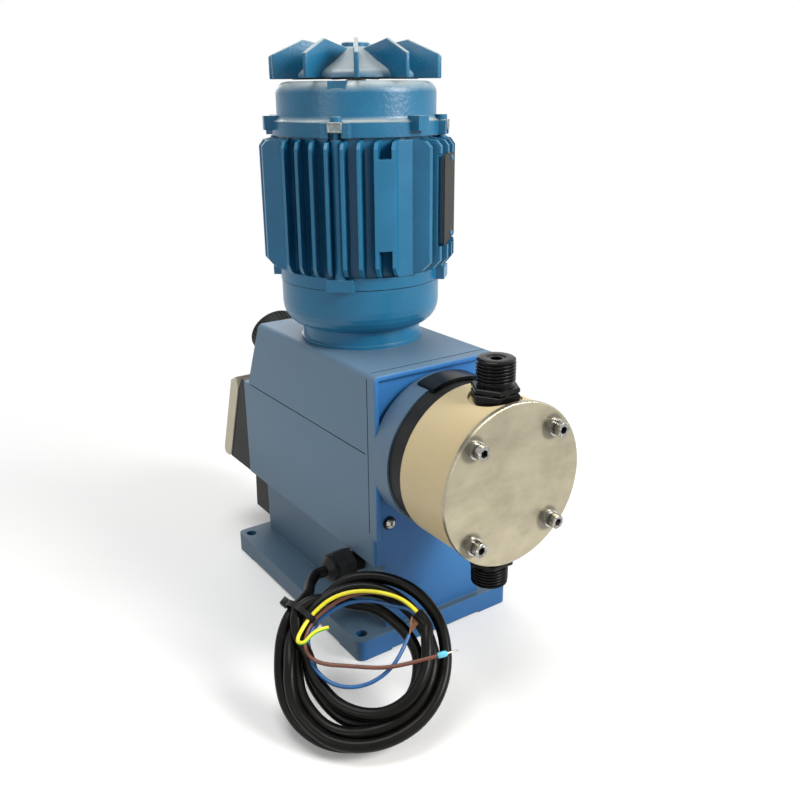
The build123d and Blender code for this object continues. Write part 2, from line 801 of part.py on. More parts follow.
def lower_shield():
    """Bell-shaped drive end shield with the neck and the spigot."""
    wall = dome_wall
    seat_low_z = lower_bearing_z - 3
    neck_floor_z = hood_top_z + neck_lip_height + neck_floor_thickness
    points = [(bell_radius, body_bottom_z), (bell_radius, bell_straight_z)]
    drop = bell_straight_z - bell_foot_z
    run = bell_radius - neck_radius
    for step in range(1, 6):
        angle = math.radians(90 * step / 6)
        points.append((bell_radius - run * (1 - math.cos(angle)),
                       bell_straight_z - drop * math.sin(angle)))
    points += [
        (neck_radius, bell_foot_z),
        (neck_radius, hood_top_z + neck_lip_height),
        (neck_lip_radius, hood_top_z + neck_lip_height),
        (neck_lip_radius, hood_top_z),
        (neck_radius, hood_top_z),
        (neck_radius, hood_top_z - hood_wall - 1),
        (spigot_radius, hood_top_z - hood_wall - 1),
        (spigot_radius, spigot_bottom_z),
        (spigot_radius - 5, spigot_bottom_z),
        (spigot_radius - 5, neck_floor_z - neck_floor_thickness),
        (shaft_radius + 2, neck_floor_z - neck_floor_thickness),
        (shaft_radius + 2, seat_low_z),
        (motor_bearing_radius, seat_low_z),
        (motor_bearing_radius, lower_bearing_z + motor_bearing_width),
        (motor_bearing_radius + 5, lower_bearing_z + motor_bearing_width),
        (motor_bearing_radius + 5, neck_floor_z),
        (neck_radius - neck_wall, neck_floor_z),
        (neck_radius - neck_wall, bell_foot_z + wall),
        (bell_radius - wall - 6, bell_straight_z - 9),
        (bell_radius - wall, bell_straight_z + 2),
        (bell_radius - wall, body_bottom_z),
    ]
    shield = spun(points)
    for x, y in flange_screw_places():
        shield -= upright(flange_screw_radius, spigot_bottom_z, neck_floor_z + 1, x, y)
    return shield


def motor_screws():
    """Socket screws that hold the neck's floor on the oil box."""
    seat_z = hood_top_z + neck_lip_height + neck_floor_thickness
    screws = []
    for x, y in flange_screw_places():
        shank = upright(flange_screw_radius, oil_box_top_z - 3, seat_z, x, y)
        screws.append(shank + upright(flange_screw_head_radius, seat_z, seat_z + 5, x, y))
    return Compound(children=screws)


def tie_bolts():
    """Long bolts that clamp the end shields on the motor body."""
    bolts = []
    for x, y in tie_bolt_places():
        bolt = upright(tie_rod_radius, body_bottom_z, dome_seat_z, x, y)
        bolt += upright(tie_rod_radius * 1.7, dome_seat_z, dome_seat_z + 4, x, y)
        bolts.append(bolt)
    return Compound(children=bolts)


def rating_plate():
    """Blank plate on the front-right face of the motor body."""
    middle_z = (pad_bottom_z + pad_top_z) / 2
    plate = block(plate_face_distance, plate_face_distance + plate_thickness, -plate_width / 2,
                  plate_width / 2, middle_z - plate_height / 2, middle_z + plate_height / 2)
    plate = fillet(plate.edges().filter_by(Axis.X), 2.5)
    return face_frame(1) * plate


def motor_shaft():
    """Shaft from the fan down through both bearings to the worm."""
    worm_low = head_axis_z - worm_length / 2
    worm_high = worm_low + worm_length
    shaft = motor_disc(shaft_radius, worm_high, fan_bottom_z + fan_hub_height)
    shaft += motor_disc(worm_bore_radius, worm_low - 8, worm_high)
    shaft -= motor_disc(shaft_radius + 1, fan_bottom_z - 0.5, fan_bottom_z + fan_hub_height + 1)
    return shaft + motor_disc(retainer_radius - 1, fan_bottom_z - 0.5, fan_bottom_z + fan_hub_height)


def rotor():
    """Laminated rotor core on the shaft."""
    core = motor_disc(rotor_radius, stator_bottom_z, stator_bottom_z + stator_length)
    core += motor_disc(rotor_radius - 4, stator_bottom_z - 6, stator_bottom_z + stator_length + 6)
    return core - motor_disc(shaft_radius, stator_bottom_z - 20, stator_bottom_z + stator_length + 20)


def stator_core():
    """Laminated stator pressed into the motor body."""
    core = motor_disc(body_bore_radius, stator_bottom_z, stator_bottom_z + stator_length)
    return core - motor_disc(rotor_radius + air_gap, stator_bottom_z - 1,
                             stator_bottom_z + stator_length + 1)


def stator_winding():
    """End windings above and below the stator core."""
    coils = []
    for low in (stator_bottom_z - winding_height, stator_bottom_z + stator_length):
        ring = motor_disc(body_bore_radius - 5, low, low + winding_height)
        ring -= motor_disc(rotor_radius + 4, low - 1, low + winding_height + 1)
        coils.append(ring)
    return Compound(children=coils)


def ball_bearing_ring(outer, inner, width):
    """Closed ball bearing drawn as one sleeve about Z."""
    bearing = Cylinder(outer, width) - Cylinder(inner, width + 2)
    return chamfer(bearing.edges().filter_by(GeomType.CIRCLE), 0.5)


def motor_bearings():
    """The motor's two ball bearings."""
    bearings = []
    for low in (lower_bearing_z, upper_bearing_z):
        ring = ball_bearing_ring(motor_bearing_radius, shaft_radius + running_clearance,
                                 motor_bearing_width)
        bearings.append(Pos(0, motor_axis_y, low + motor_bearing_width / 2) * ring)
    return Compound(children=bearings)


def fan():
    """Radial fan: hub, cone and flat blades."""
    z = fan_bottom_z
    hub = spun([
        (retainer_radius - 1, z), (fan_cone_radius, z), (fan_cone_radius, z + 1.8),
        (fan_hub_radius + 6, z + fan_cone_height - 3), (fan_hub_radius, z + fan_cone_height + 2),
        (fan_hub_radius, z + fan_hub_height), (retainer_radius - 1, z + fan_hub_height),
    ])
    hollow = spun([
        (fan_hub_radius + 1, z - 1), (fan_cone_radius - 5, z - 1), (fan_cone_radius - 5, z),
        (fan_hub_radius + 5, z + fan_cone_height - 6), (fan_hub_radius + 1, z + fan_cone_height - 5),
    ])
    hub -= hollow
    outline = make_face(Polyline(
        (fan_hub_radius - 1.5, z + fan_cone_height - 3), (fan_hub_radius - 1.5, z + fan_root_height),
        (fan_peak_radius, z + fan_peak_height), (fan_radius, z + fan_tip_height),
        (fan_radius, z), (fan_cone_radius - 4, z), (fan_cone_radius - 4, z + 1), close=True))
    blade = extrude(Plane.XZ * outline, fan_blade_thickness / 2, both=True)
    for index in range(fan_blade_count):
        turn = fan_first_blade_angle + 360 * index / fan_blade_count
        hub += Pos(0, motor_axis_y, 0) * Rot(0, 0, turn) * blade
    return hub


def fan_retainer():
    """Retaining disc on top of the fan's hub."""
    low = fan_bottom_z + fan_hub_height
    disc = motor_disc(retainer_radius, low, low + retainer_height)
    return chamfer(disc.edges().sort_by(Axis.Z)[-1:], 0.5)


# ---- Drive -----------------------------------------------------------------
def worm():
    """Two-start worm on the end of the motor shaft."""
    root = worm_pitch_radius - tooth_dedendum
    low = head_axis_z - worm_length / 2
    core = motor_disc(root, low, low + worm_length)
    half_pitch = math.pi * gear_module / 4 - tooth_backlash / 4
    tip_half = half_pitch - tooth_addendum * math.tan(math.radians(pressure_angle))
    root_half = half_pitch + (tooth_dedendum + 0.4) * math.tan(math.radians(pressure_angle))
    thread_height = worm_length - 2 * root_half - 1
    path = Helix(pitch=worm_lead, height=thread_height, radius=root)
    section = make_face(Polyline(
        (root - 0.4, -root_half), (worm_pitch_radius + tooth_addendum, -tip_half),
        (worm_pitch_radius + tooth_addendum, tip_half), (root - 0.4, root_half), close=True))
    thread = sweep(Plane.XZ * section, path=path, is_frenet=True)
    centre_z = head_axis_z - thread_height / 2
    phase = 360 * ((thread_height / 2) / worm_lead) - 90 + 180
    for start in range(worm_starts):
        turn = Rot(0, 0, 360 * start / worm_starts - phase)
        core += Pos(0, motor_axis_y, centre_z) * turn * thread
    return core - motor_disc(worm_bore_radius, low - 1, low + worm_length + 1)


def worm_wheel():
    """Thirty-tooth wheel with slanted teeth that follow the worm's lead."""
    root = wheel_pitch_radius - tooth_dedendum
    wheel = cross_disc(root, -wheel_width / 2, wheel_width / 2, wheel_axis_y, head_axis_z)
    wheel += cross_disc(hub_radius, -cam_inner_x + 0.5, cam_inner_x - 0.5, wheel_axis_y, head_axis_z)
    half_pitch = math.pi * gear_module / 4 - tooth_backlash / 4
    slope = math.tan(math.radians(pressure_angle))
    outline = make_face(Polyline(
        (root - 0.5, -half_pitch - tooth_dedendum * slope * 0.8),
        (wheel_pitch_radius, -half_pitch),
        (wheel_pitch_radius + tooth_addendum, -half_pitch + tooth_addendum * slope),
        (wheel_pitch_radius + tooth_addendum, half_pitch - tooth_addendum * slope),
        (wheel_pitch_radius, half_pitch),
        (root - 0.5, half_pitch + tooth_dedendum * slope * 0.8), close=True))
    lean = math.tan(math.radians(lead_angle))
    section = Plane(origin=(0, 0, 0), x_dir=(0, -1, 0), z_dir=(1, 0, 0)) * outline
    half = wheel_width / 2
    tooth = extrude(Pos(-half, 0, half * lean) * section, wheel_width * slant_length(lean),
                    dir=(1, 0, -lean))
    for index in range(wheel_teeth):
        turn = 360 * (index + 0.5) / wheel_teeth
        wheel += Pos(0, wheel_axis_y, head_axis_z) * Rot(turn, 0, 0) * tooth
    return wheel - cross_disc(journal_radius + 2.5, -20, 20, wheel_axis_y, head_axis_z)


def slant_length(lean):
    """Length of a slanted edge per unit of width."""
    return math.hypot(1.0, lean)


def eccentric_shaft():
    """Cross shaft with an eccentric cam on each side of the wheel."""
    journal = journal_radius
    shaft = cross_disc(journal, -shaft_half_length, shaft_half_length, wheel_axis_y, head_axis_z)
    core = oil_box_inner_half_width - 0.5
    shaft += cross_disc(journal + 2.5, -core, core, wheel_axis_y, head_axis_z)
    for side in (-1, 1):
        low, high = sorted((side * cam_inner_x, side * (cam_inner_x + cam_width)))
        shaft += cross_disc(cam_radius, low, high, wheel_axis_y - cam_throw, head_axis_z)
    return shaft


def gear_bearings():
    """Ball bearings of the eccentric shaft."""
    bearings = []
    for side in (-1, 1):
        ring = ball_bearing_ring(gear_bearing_radius, journal_radius + running_clearance,
                                 gear_bearing_width)
        x = side * (oil_box_inner_half_width + gear_bearing_width / 2)
        bearings.append(Pos(x, wheel_axis_y, head_axis_z) * Rot(0, 90, 0) * ring)
    return Compound(children=bearings)


def bearing_caps():
    """Round caps that close the bearing bores."""
    caps = []
    for side in (-1, 1):
        low, high = sorted((side * oil_box_half_width,
                            side * (oil_box_half_width + bearing_cap_thickness)))
        caps.append(cross_disc(bearing_cap_radius, low, high, wheel_axis_y, head_axis_z))
    return Compound(children=caps)


def push_rod():
    """Rod with a slotted frame that passes round the worm, wheel and cams."""
    half_z = frame_half_height
    low_z = head_axis_z - half_z
    high_z = head_axis_z + half_z
    outer = frame_half_width
    inner = outer - frame_wall
    rear_inner_y = frame_rear_y - frame_rear_thickness
    frame = block(-outer, outer, frame_front_y, frame_rear_y, low_z, high_z)
    frame += block(-outer, outer, rear_inner_y, frame_rear_y, low_z, stop_top_z)
    front_inner_y = frame_front_y + frame_front_thickness
    frame -= block(-inner, inner, front_inner_y, rear_inner_y, low_z - 1, high_z + 1)
    pad_rear_y = wheel_axis_y - cam_throw - cam_radius - running_clearance
    for side in (-1, 1):
        low, high = sorted((side * cam_inner_x, side * inner))
        frame += block(low, high, pad_rear_y - push_pad_depth, pad_rear_y, low_z, high_z)
    slot_radius = journal_radius + 2.5 + loose_clearance
    slot = cross_disc(slot_radius, -outer - 1, outer + 1, wheel_axis_y, head_axis_z)
    slot += cross_disc(slot_radius, -outer - 1, outer + 1, wheel_axis_y + stroke, head_axis_z)
    slot += block(-outer - 1, outer + 1, wheel_axis_y, wheel_axis_y + stroke,
                  head_axis_z - slot_radius, head_axis_z + slot_radius)
    frame -= slot - block(-inner + 0.01, inner - 0.01, 0, 70, low_z, high_z)
    core_rear_y = ring_front_y + diaphragm_thickness + core_thickness
    rod = head_disc(rod_radius, core_rear_y, frame_front_y)
    rod -= head_disc(core_stud_radius, core_rear_y - 1, core_rear_y + core_stud_length)
    collar = head_disc(collar_radius, collar_rear_y - collar_width, collar_rear_y)
    return frame + rod + collar


def rod_bush():
    """Guide bush of the push rod in the front wall."""
    bush = head_disc(bush_radius, wall_front_y - 4, wall_front_y - 4 + bush_length)
    return bush - head_disc(rod_radius + running_clearance, wall_front_y - 20, wall_inner_y + 20)


def return_spring():
    """Coil spring between the front wall and the rod's collar."""
    seat_y = wall_front_y - 4 + bush_length
    length = collar_rear_y - collar_width - seat_y - 2 * spring_wire_radius
    path = Helix(pitch=length / spring_turns, height=length, radius=spring_mean_radius)
    wire = Plane(origin=path @ 0, z_dir=path % 0) * RegularPolygon(spring_wire_radius, 6)
    spring = sweep(wire, path=path, is_frenet=True)
    place = Pos(0, seat_y + spring_wire_radius, head_axis_z) * Rot(-90, 0, 0)
    return place * spring


# ---- Stroke adjuster -------------------------------------------------------
def spindle_tip():
    """Place of the tip sphere's centre on the axis, with the full stroke set."""
    clear_y = frame_rear_y + stroke + 2 * running_clearance + spindle_radius
    return (clear_y - adjuster_foot.Y) * slope_length


def stroke_spindle():
    """Round-ended spindle that limits the rod's return."""
    tip = spindle_tip()
    spindle = along_adjuster(spindle_radius, tip, spindle_outer_end)
    ball = Pos(*(adjuster_foot + adjuster_axis * tip)) * Sphere(spindle_radius)
    return spindle + ball


def spindle_guide():
    """Bush that carries the spindle and the knob in the sloped rear."""
    inner_end = -(hood_wall + hood_gap + 4)
    guide = along_adjuster(guide_radius, inner_end, guide_outer_end)
    return guide - along_adjuster(spindle_radius + running_clearance, inner_end - 1,
                                  guide_outer_end + 1)


def stroke_knob():
    """Ribbed knob that turns on the guide bush and drives the spindle."""
    knob = along_adjuster(knob_radius, knob_bottom, knob_top)
    knob = fillet(knob.edges().filter_by(GeomType.CIRCLE).sort_by(Axis.Y)[-1:], 2)
    base = Plane(origin=adjuster_foot + adjuster_axis * knob_bottom, z_dir=adjuster_axis)
    height = knob_top - knob_bottom - 3
    for index in range(knob_rib_count):
        turn = Rot(0, 0, 360 * index / knob_rib_count)
        flute = Pos(knob_radius + knob_rib_radius * 0.4, 0, height / 2 - 0.5) * Box(
            2 * knob_rib_radius, 1.6, height + 1)
        knob -= base * turn * flute
    knob -= along_adjuster(guide_radius + running_clearance, knob_bottom - 1,
                           guide_outer_end + loose_clearance)
    return knob - along_adjuster(spindle_radius + running_clearance, knob_bottom, knob_bore_depth)


# ---- Terminal box ----------------------------------------------------------
def terminal_box():
    """Black box on the rear with its plinth below."""
    half = terminal_half_width
    outline = [
        (box_rear_y, terminal_bottom_z),
        (terminal_rear_low_y, terminal_bottom_z),
        (terminal_rear_high_y, terminal_top_z - 12),
        (terminal_rear_high_y - 8, terminal_top_z),
        (box_rear_y, terminal_top_z),
    ]
    box = side_profile(outline, -half, half)
    wall = terminal_wall
    inner = [
        (box_rear_y + wall, terminal_bottom_z + wall),
        (terminal_rear_low_y + 1, terminal_bottom_z + wall),
        (terminal_rear_high_y + 1, terminal_top_z - 12 - wall),
        (box_rear_y + wall, terminal_top_z - 12 - wall),
    ]
    box -= side_profile(inner, -half + wall, half - wall)
    plinth_outline = [
        (pedestal_rear_y, plinth_bottom_z),
        (plinth_rear_y, plinth_bottom_z),
        (plinth_rear_y - 2, terminal_bottom_z + 1),
        (box_rear_y, terminal_bottom_z + 1),
        (box_rear_y, box_bottom_z),
        (pedestal_rear_y, box_bottom_z),
    ]
    plinth_half = plinth_half_width
    return box + side_profile(plinth_outline, -plinth_half, plinth_half)


def lid_slope():
    """Lean of the terminal box's sloped rear rim."""
    rise = terminal_top_z - 12 - terminal_bottom_z
    return (terminal_rear_low_y - terminal_rear_high_y) / rise


def terminal_lid():
    """Beige lid on the sloped rim, rounded at the outer edges."""
    lean = lid_slope()
    long = math.hypot(1.0, lean)
    reach = lid_thickness * long
    top_z = terminal_top_z - 12
    outline = [
        (terminal_rear_low_y, terminal_bottom_z),
        (terminal_rear_low_y + reach + 2 * lean, terminal_bottom_z - 2),
        (terminal_rear_high_y + reach - 5 * lean, top_z + 5),
        (terminal_rear_high_y + 2, top_z + 11),
        (terminal_rear_high_y, top_z),
    ]
    half = terminal_half_width + 0.8
    lid = side_profile(outline, -half, half)
    outer_edges = lid.edges().filter_by(Axis.X).sort_by(Axis.Y)[-2:]
    lid = fillet(outer_edges, lid_edge_radius)
    floor_reach = reach - lid_wall * long
    inner_low = (terminal_bottom_z + 4, terminal_rear_low_y - 4 * lean)
    inner_high = (top_z - 4, terminal_rear_high_y + 4 * lean)
    hollow = [
        (inner_low[1] - 2, inner_low[0]),
        (inner_low[1] + floor_reach, inner_low[0]),
        (inner_high[1] + floor_reach, inner_high[0]),
        (inner_high[1] - 2, inner_high[0]),
    ]
    return lid - side_profile(hollow, -terminal_half_width + lid_wall + 1.5,
                              terminal_half_width - lid_wall - 1.5)


def lid_screws():
    """Captive screws at the corners of the terminal lid."""
    lean = lid_slope()
    normal = Vector(0, 1.0, lean) / math.hypot(1.0, lean)
    screws = []
    for side in (-1, 1):
        for part in (0.12, 0.86):
            z = terminal_bottom_z + part * (terminal_top_z - 12 - terminal_bottom_z)
            y = terminal_rear_low_y - (z - terminal_bottom_z) * lean
            face = Vector(side * (terminal_half_width - 9), y, z) + normal * lid_thickness
            base = Plane(origin=face, z_dir=normal)
            screws.append(base * Pos(0, 0, 0.9) * Cylinder(lid_screw_radius * 1.6, 1.8))
    return Compound(children=screws)


# ---- Cable gland and cable -------------------------------------------------
def hex_along_x(width, x_low, x_high):
    """Hexagonal prism along X on the gland's axis, with a corner on top."""
    plane = Plane(origin=(x_low, gland_y, gland_z), x_dir=(0, 0, 1), z_dir=(1, 0, 0))
    return extrude(plane * RegularPolygon(width / math.sqrt(3), 6), x_high - x_low)


def gland_faces():
    """X of the gland's steps: wall, neck end, base end, nut end and mouth."""
    wall_x = -pedestal_half_width
    neck_x = wall_x - gland_neck_length
    base_x = neck_x - gland_base_length
    nut_x = base_x - gland_nut_length
    return wall_x, neck_x, base_x, nut_x, nut_x - gland_dome_length


def cable_gland():
    """Gland body: thread through the wall, round neck and hex base."""
    wall_x, neck_x, base_x, _, _ = gland_faces()
    body = hex_along_x(gland_hex_width, base_x, neck_x)
    body += cross_disc(gland_thread_radius, neck_x, wall_x + pedestal_wall + 2, gland_y, gland_z)
    return body - cross_disc(cable_radius, base_x - 1, wall_x + 20, gland_y, gland_z)


def gland_nut():
    """Hex dome nut that squeezes the cable."""
    _, _, base_x, nut_x, mouth_x = gland_faces()
    nut = hex_along_x(gland_hex_width - 1, nut_x, base_x)
    dome = cross_disc(gland_hex_width / 2 - 1.5, mouth_x, nut_x, gland_y, gland_z)
    dome = chamfer(dome.edges().filter_by(GeomType.CIRCLE).sort_by(Axis.X)[:1], 4)
    return nut + dome - cross_disc(cable_radius, mouth_x - 1, base_x + 1, gland_y, gland_z)


def coil_point(right, up, towards_viewer):
    """Point given in the coil's own plane."""
    normal = coil_right.cross(coil_up)
    return coil_centre + coil_right * right + coil_up * up + normal * towards_viewer


def rounded_route(points):
    """Straight runs joined by tangent arcs as large as the runs allow."""
    radii = []
    for before, here, after in zip(points, points[1:], points[2:]):
        arriving = here - before
        leaving = after - here
        turn = arriving.get_angle(leaving)
        shorter = min(arriving.length, leaving.length)
        radii.append(0.45 * shorter / math.tan(math.radians(turn / 2)))
    print("arc radii", [round(radius, 1) for radius in radii])
    return FilletPolyline(*points, radius=radii)


def tube(points, radius):
    """Round tube along a rounded route."""
    path = rounded_route(points)
    profile = Plane(origin=path @ 0, z_dir=path % 0) * Circle(radius)
    solid = sweep(profile, path=path)
    print("tube volume ratio", round(solid.volume / (math.pi * radius ** 2 * path.length), 4))
    return solid


def cable():
    """Free stretch of the supply cable, from inside the gland into the coil."""
    mouth_x = gland_faces()[4]
    return tube([
        Vector(mouth_x + 20, gland_y, gland_z),
        Vector(mouth_x - 9, gland_y, gland_z),
        Vector(mouth_x - 23, gland_y - 14, gland_z - 1),
        Vector(mouth_x - 29, gland_y - 35, gland_z + 5),
    ], cable_radius)


def sheath_end():
    """Middle and direction of the face where the cable's sheath is cut."""
    middle = coil_point(38, 29, 11.5)
    return middle, (middle - coil_point(46, 22, 8.5)).normalized()


def cable_coil():
    """Outer shape of the tied coil, with the cut end of the sheath on top."""
    normal = coil_right.cross(coil_up)
    ring = Plane(origin=coil_centre, x_dir=coil_right, z_dir=normal)
    coil = ring * Torus(coil_ring_radius, coil_bundle_radius)
    middle, direction = sheath_end()
    stub = Plane(origin=middle - direction * 16, z_dir=direction) * Pos(0, 0, 8) * Cylinder(cable_radius, 16)
    return coil + stub


def zip_tie():
    """Band round the coil and the cores, with its square head."""
    angle = math.radians(tie_angle)
    radial = coil_right * math.cos(angle) + coil_up * math.sin(angle)
    along = coil_up * math.cos(angle) - coil_right * math.sin(angle)
    normal = coil_right.cross(coil_up)
    shift = radial * -0.906 + normal * 0.423
    middle = coil_centre + radial * coil_ring_radius + shift * core_cable_radius
    plane = Plane(origin=middle, x_dir=radial, z_dir=along)
    inner = coil_bundle_radius + core_cable_radius + running_clearance
    outer = inner + tie_thickness
    band = Cylinder(outer, tie_width) - Cylinder(inner, tie_width + 1)
    head = Pos(outer + 1.5, 0, 0) * Box(6, 7, 6)
    head -= Cylinder(outer - 0.2, 20)
    return plane * (band + head)


def core_route(turn, places):
    """Route of one core: out of the sheath's face, then through coil points."""
    middle, direction = sheath_end()
    normal = coil_right.cross(coil_up)
    side = normal.cross(direction)
    turned = math.radians(turn)
    start = middle + (normal * math.cos(turned) + side * math.sin(turned)) * core_spread
    return [start, start + direction * 6] + [coil_point(*place) for place in places]


def earth_core():
    """Green-yellow core under the tie, with its end bent back."""
    return tube(core_route(0, [
        (24, 39, 14), (8, 42.6, 13.6), (-9, 42.6, 12), (-24, 37.2, 10.6), (-34.8, 26.2, 8.6),
        (-41.5, 12.5, 10.5), (-41, -1, 15), (-32, -6, 17), (-25, 2.5, 17), (-22, 15.5, 17),
    ]), core_cable_radius)


def brown_core():
    """Brown core under the tie and back across the coil to the right."""
    return tube(core_route(240, [
        (25, 39.5, 10.3), (8, 43.4, 10), (-9, 41, 8.3), (-22.5, 34.3, 6.8), (-33.3, 25.1, 5.5),
        (-39.5, 10, 7), (-36, -4, 10), (-25, -11, 13), (-3, -11.5, 14.5), (18, -11.8, 14.7),
        (37, -7, 14.5), (54, -1, 14.2),
    ]), core_cable_radius)


def blue_core():
    """Blue core under the tie, round the inside and up to the right."""
    return tube(core_route(120, [
        (22.5, 34, 8), (8, 37.2, 7.5), (-8, 37, 6), (-21.5, 32.2, 3.9), (-32.5, 24.5, 2.3),
        (-38, 9, 3.5), (-33.5, -8, 6), (-21, -20.5, 8.5), (-7, -25, 10), (8, -22.5, 10.5),
        (21, -13.5, 10.8), (29, -1, 10.8), (33.5, 14, 8.8),
    ]), core_cable_radius)


def core_ferrule():
    """Crimped ferrule on the brown core's end."""
    start = coil_point(54, -1, 14.2)
    end = coil_point(62, 1.8, 14.2)
    direction = (end - start).normalized()
    base = Plane(origin=start + direction * 0.05, z_dir=direction)
    collar = base * Pos(0, 0, 3.5) * Cylinder(2.1, 7)
    return collar + base * Pos(0, 0, 10) * Cylinder(0.9, 8)


PIECES = {
    "gear_housing": gear_housing,
    "top_hood": top_hood,
    "front_bezel": front_bezel,
    "wall_screws": wall_screws,
    "wall_screw_rings": wall_screw_rings,
    "lantern": lantern,
    "lantern_cap": lantern_cap,
    "back_ring": back_ring,
    "diaphragm": diaphragm,
    "diaphragm_core": diaphragm_core,
    "dosing_head": dosing_head,
    "end_plate": end_plate,
    "head_washers": head_washers,
    "head_screws": head_screws,
    "discharge_valve_body": lambda: valve_body(1),
    "discharge_valve_seat": lambda: valve_seat(1),
    "discharge_valve_ball": lambda: valve_ball(1),
    "discharge_valve_seal": lambda: valve_seal(1),
    "suction_valve_body": lambda: valve_body(-1),
    "suction_valve_seat": lambda: valve_seat(-1),
    "suction_valve_ball": lambda: valve_ball(-1),
    "suction_valve_seal": lambda: valve_seal(-1),
    "motor_body": motor_body,
    "upper_shield": upper_shield,
    "lower_shield": lower_shield,
    "motor_screws": motor_screws,
    "tie_bolts": tie_bolts,
    "rating_plate": rating_plate,
    "motor_shaft": motor_shaft,
    "rotor": rotor,
    "stator_core": stator_core,
    "stator_winding": stator_winding,
    "motor_bearings": motor_bearings,
    "fan": fan,
    "fan_retainer": fan_retainer,
    "worm": worm,
    "worm_wheel": worm_wheel,
    "eccentric_shaft": eccentric_shaft,
    "gear_bearings": gear_bearings,
    "bearing_caps": bearing_caps,
    "push_rod": push_rod,
    "rod_bush": rod_bush,
    "return_spring": return_spring,
    "stroke_spindle": stroke_spindle,
    "spindle_guide": spindle_guide,
    "stroke_knob": stroke_knob,
    "terminal_box": terminal_box,
    "terminal_lid": terminal_lid,
    "lid_screws": lid_screws,
    "cable_gland": cable_gland,
    "gland_nut": gland_nut,
    "cable": cable,
    "cable_coil": cable_coil,
    "zip_tie": zip_tie,
    "earth_core": earth_core,
    "brown_core": brown_core,
    "blue_core": blue_core,
    "core_ferrule": core_ferrule,
}

os.makedirs("parts", exist_ok=True)
for name, make in PIECES.items():
    export_step(make(), f"parts/{name}.step")
    print("wrote", name)
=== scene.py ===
import json
import math

import bpy
from mathutils import Matrix, Vector

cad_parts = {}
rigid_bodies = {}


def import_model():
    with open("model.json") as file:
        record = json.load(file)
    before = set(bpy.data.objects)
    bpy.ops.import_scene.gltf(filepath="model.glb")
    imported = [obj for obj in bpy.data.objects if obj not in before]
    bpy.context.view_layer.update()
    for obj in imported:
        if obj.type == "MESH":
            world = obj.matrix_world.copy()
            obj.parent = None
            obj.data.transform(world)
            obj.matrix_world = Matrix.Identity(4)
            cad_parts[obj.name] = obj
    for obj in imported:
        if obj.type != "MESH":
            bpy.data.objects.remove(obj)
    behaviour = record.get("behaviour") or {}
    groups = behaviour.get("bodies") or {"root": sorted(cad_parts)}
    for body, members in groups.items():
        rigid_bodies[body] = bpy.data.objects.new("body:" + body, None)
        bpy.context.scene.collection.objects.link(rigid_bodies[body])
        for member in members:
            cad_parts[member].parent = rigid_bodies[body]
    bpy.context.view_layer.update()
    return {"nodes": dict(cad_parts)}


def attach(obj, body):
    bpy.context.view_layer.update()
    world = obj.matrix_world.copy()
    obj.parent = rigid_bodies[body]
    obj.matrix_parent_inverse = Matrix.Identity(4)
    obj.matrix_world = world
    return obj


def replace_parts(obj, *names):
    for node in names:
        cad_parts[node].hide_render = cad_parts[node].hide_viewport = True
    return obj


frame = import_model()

node = frame["nodes"]

# ---- Camera, lights and floor -----------------------------------------------
# A plain pale floor under soft studio light. The big lamp stands to the right of
# the liquid end, so the side with the cable gland lies in its shade.
camera = bpy.data.objects.new("camera", bpy.data.cameras.new("camera"))
camera.data.lens = 38.35
camera.data.sensor_width = 36.0
camera.data.clip_start = 0.01
camera.location = (-0.35717, -0.57672, 0.41172)
line_of_sight = Vector((0.5336, 0.7743, -0.3402))
camera.rotation_mode = "QUATERNION"
camera.rotation_quaternion = (line_of_sight.to_track_quat("-Z", "Y")
                              @ Matrix.Rotation(math.radians(-0.41), 3, "Z").to_quaternion())
bpy.context.scene.collection.objects.link(camera)
bpy.context.scene.camera = camera
bpy.context.scene.view_settings.view_transform = "Standard"


def lamp(name, place, size, watts, colour):
    light = bpy.data.lights.new(name, "AREA")
    light.size = size
    light.energy = watts
    light.color = colour
    holder = bpy.data.objects.new(name, light)
    holder.location = place
    holder.rotation_euler = (Vector((0, -0.02, 0.2)) - Vector(place)).to_track_quat("-Z", "Y").to_euler()
    bpy.context.scene.collection.objects.link(holder)


lamp("key_lamp", (0.75, -1.35, 1.05), 0.7, 34.0, (1.0, 0.985, 0.95))
lamp("top_lamp", (-0.25, 0.15, 1.8), 0.9, 17.0, (1.0, 1.0, 1.0))
lamp("left_lamp", (-1.5, -0.45, 0.8), 0.6, 4.6, (1.0, 0.96, 0.90))
lamp("rear_lamp", (0.5, 1.5, 0.9), 0.9, 6.0, (1.0, 1.0, 1.0))

world = bpy.data.worlds.new("studio")
bpy.context.scene.world = world
world.use_nodes = True
sky = world.node_tree.nodes["Background"]
sky.inputs["Color"].default_value = (1.0, 1.0, 1.0, 1.0)


def seen_strength(tree, unseen, strength):
    """Full strength for camera, glossy and transmitted rays, and a dimmer one for the rest."""
    rays = tree.nodes.new("ShaderNodeLightPath")
    mirrored = tree.nodes.new("ShaderNodeMath")
    mirrored.operation = "ADD"
    tree.links.new(rays.outputs["Is Camera Ray"], mirrored.inputs[0])
    tree.links.new(rays.outputs["Is Glossy Ray"], mirrored.inputs[1])
    through = tree.nodes.new("ShaderNodeMath")
    through.operation = "ADD"
    through.use_clamp = True
    tree.links.new(mirrored.outputs["Value"], through.inputs[0])
    tree.links.new(rays.outputs["Is Transmission Ray"], through.inputs[1])
    level = tree.nodes.new("ShaderNodeMapRange")
    level.inputs["To Min"].default_value = unseen
    level.inputs["To Max"].default_value = 1.0
    tree.links.new(through.outputs["Value"], level.inputs["Value"])
    tree.links.new(level.outputs["Result"], strength)


seen_strength(world.node_tree, 0.24, sky.inputs["Strength"])

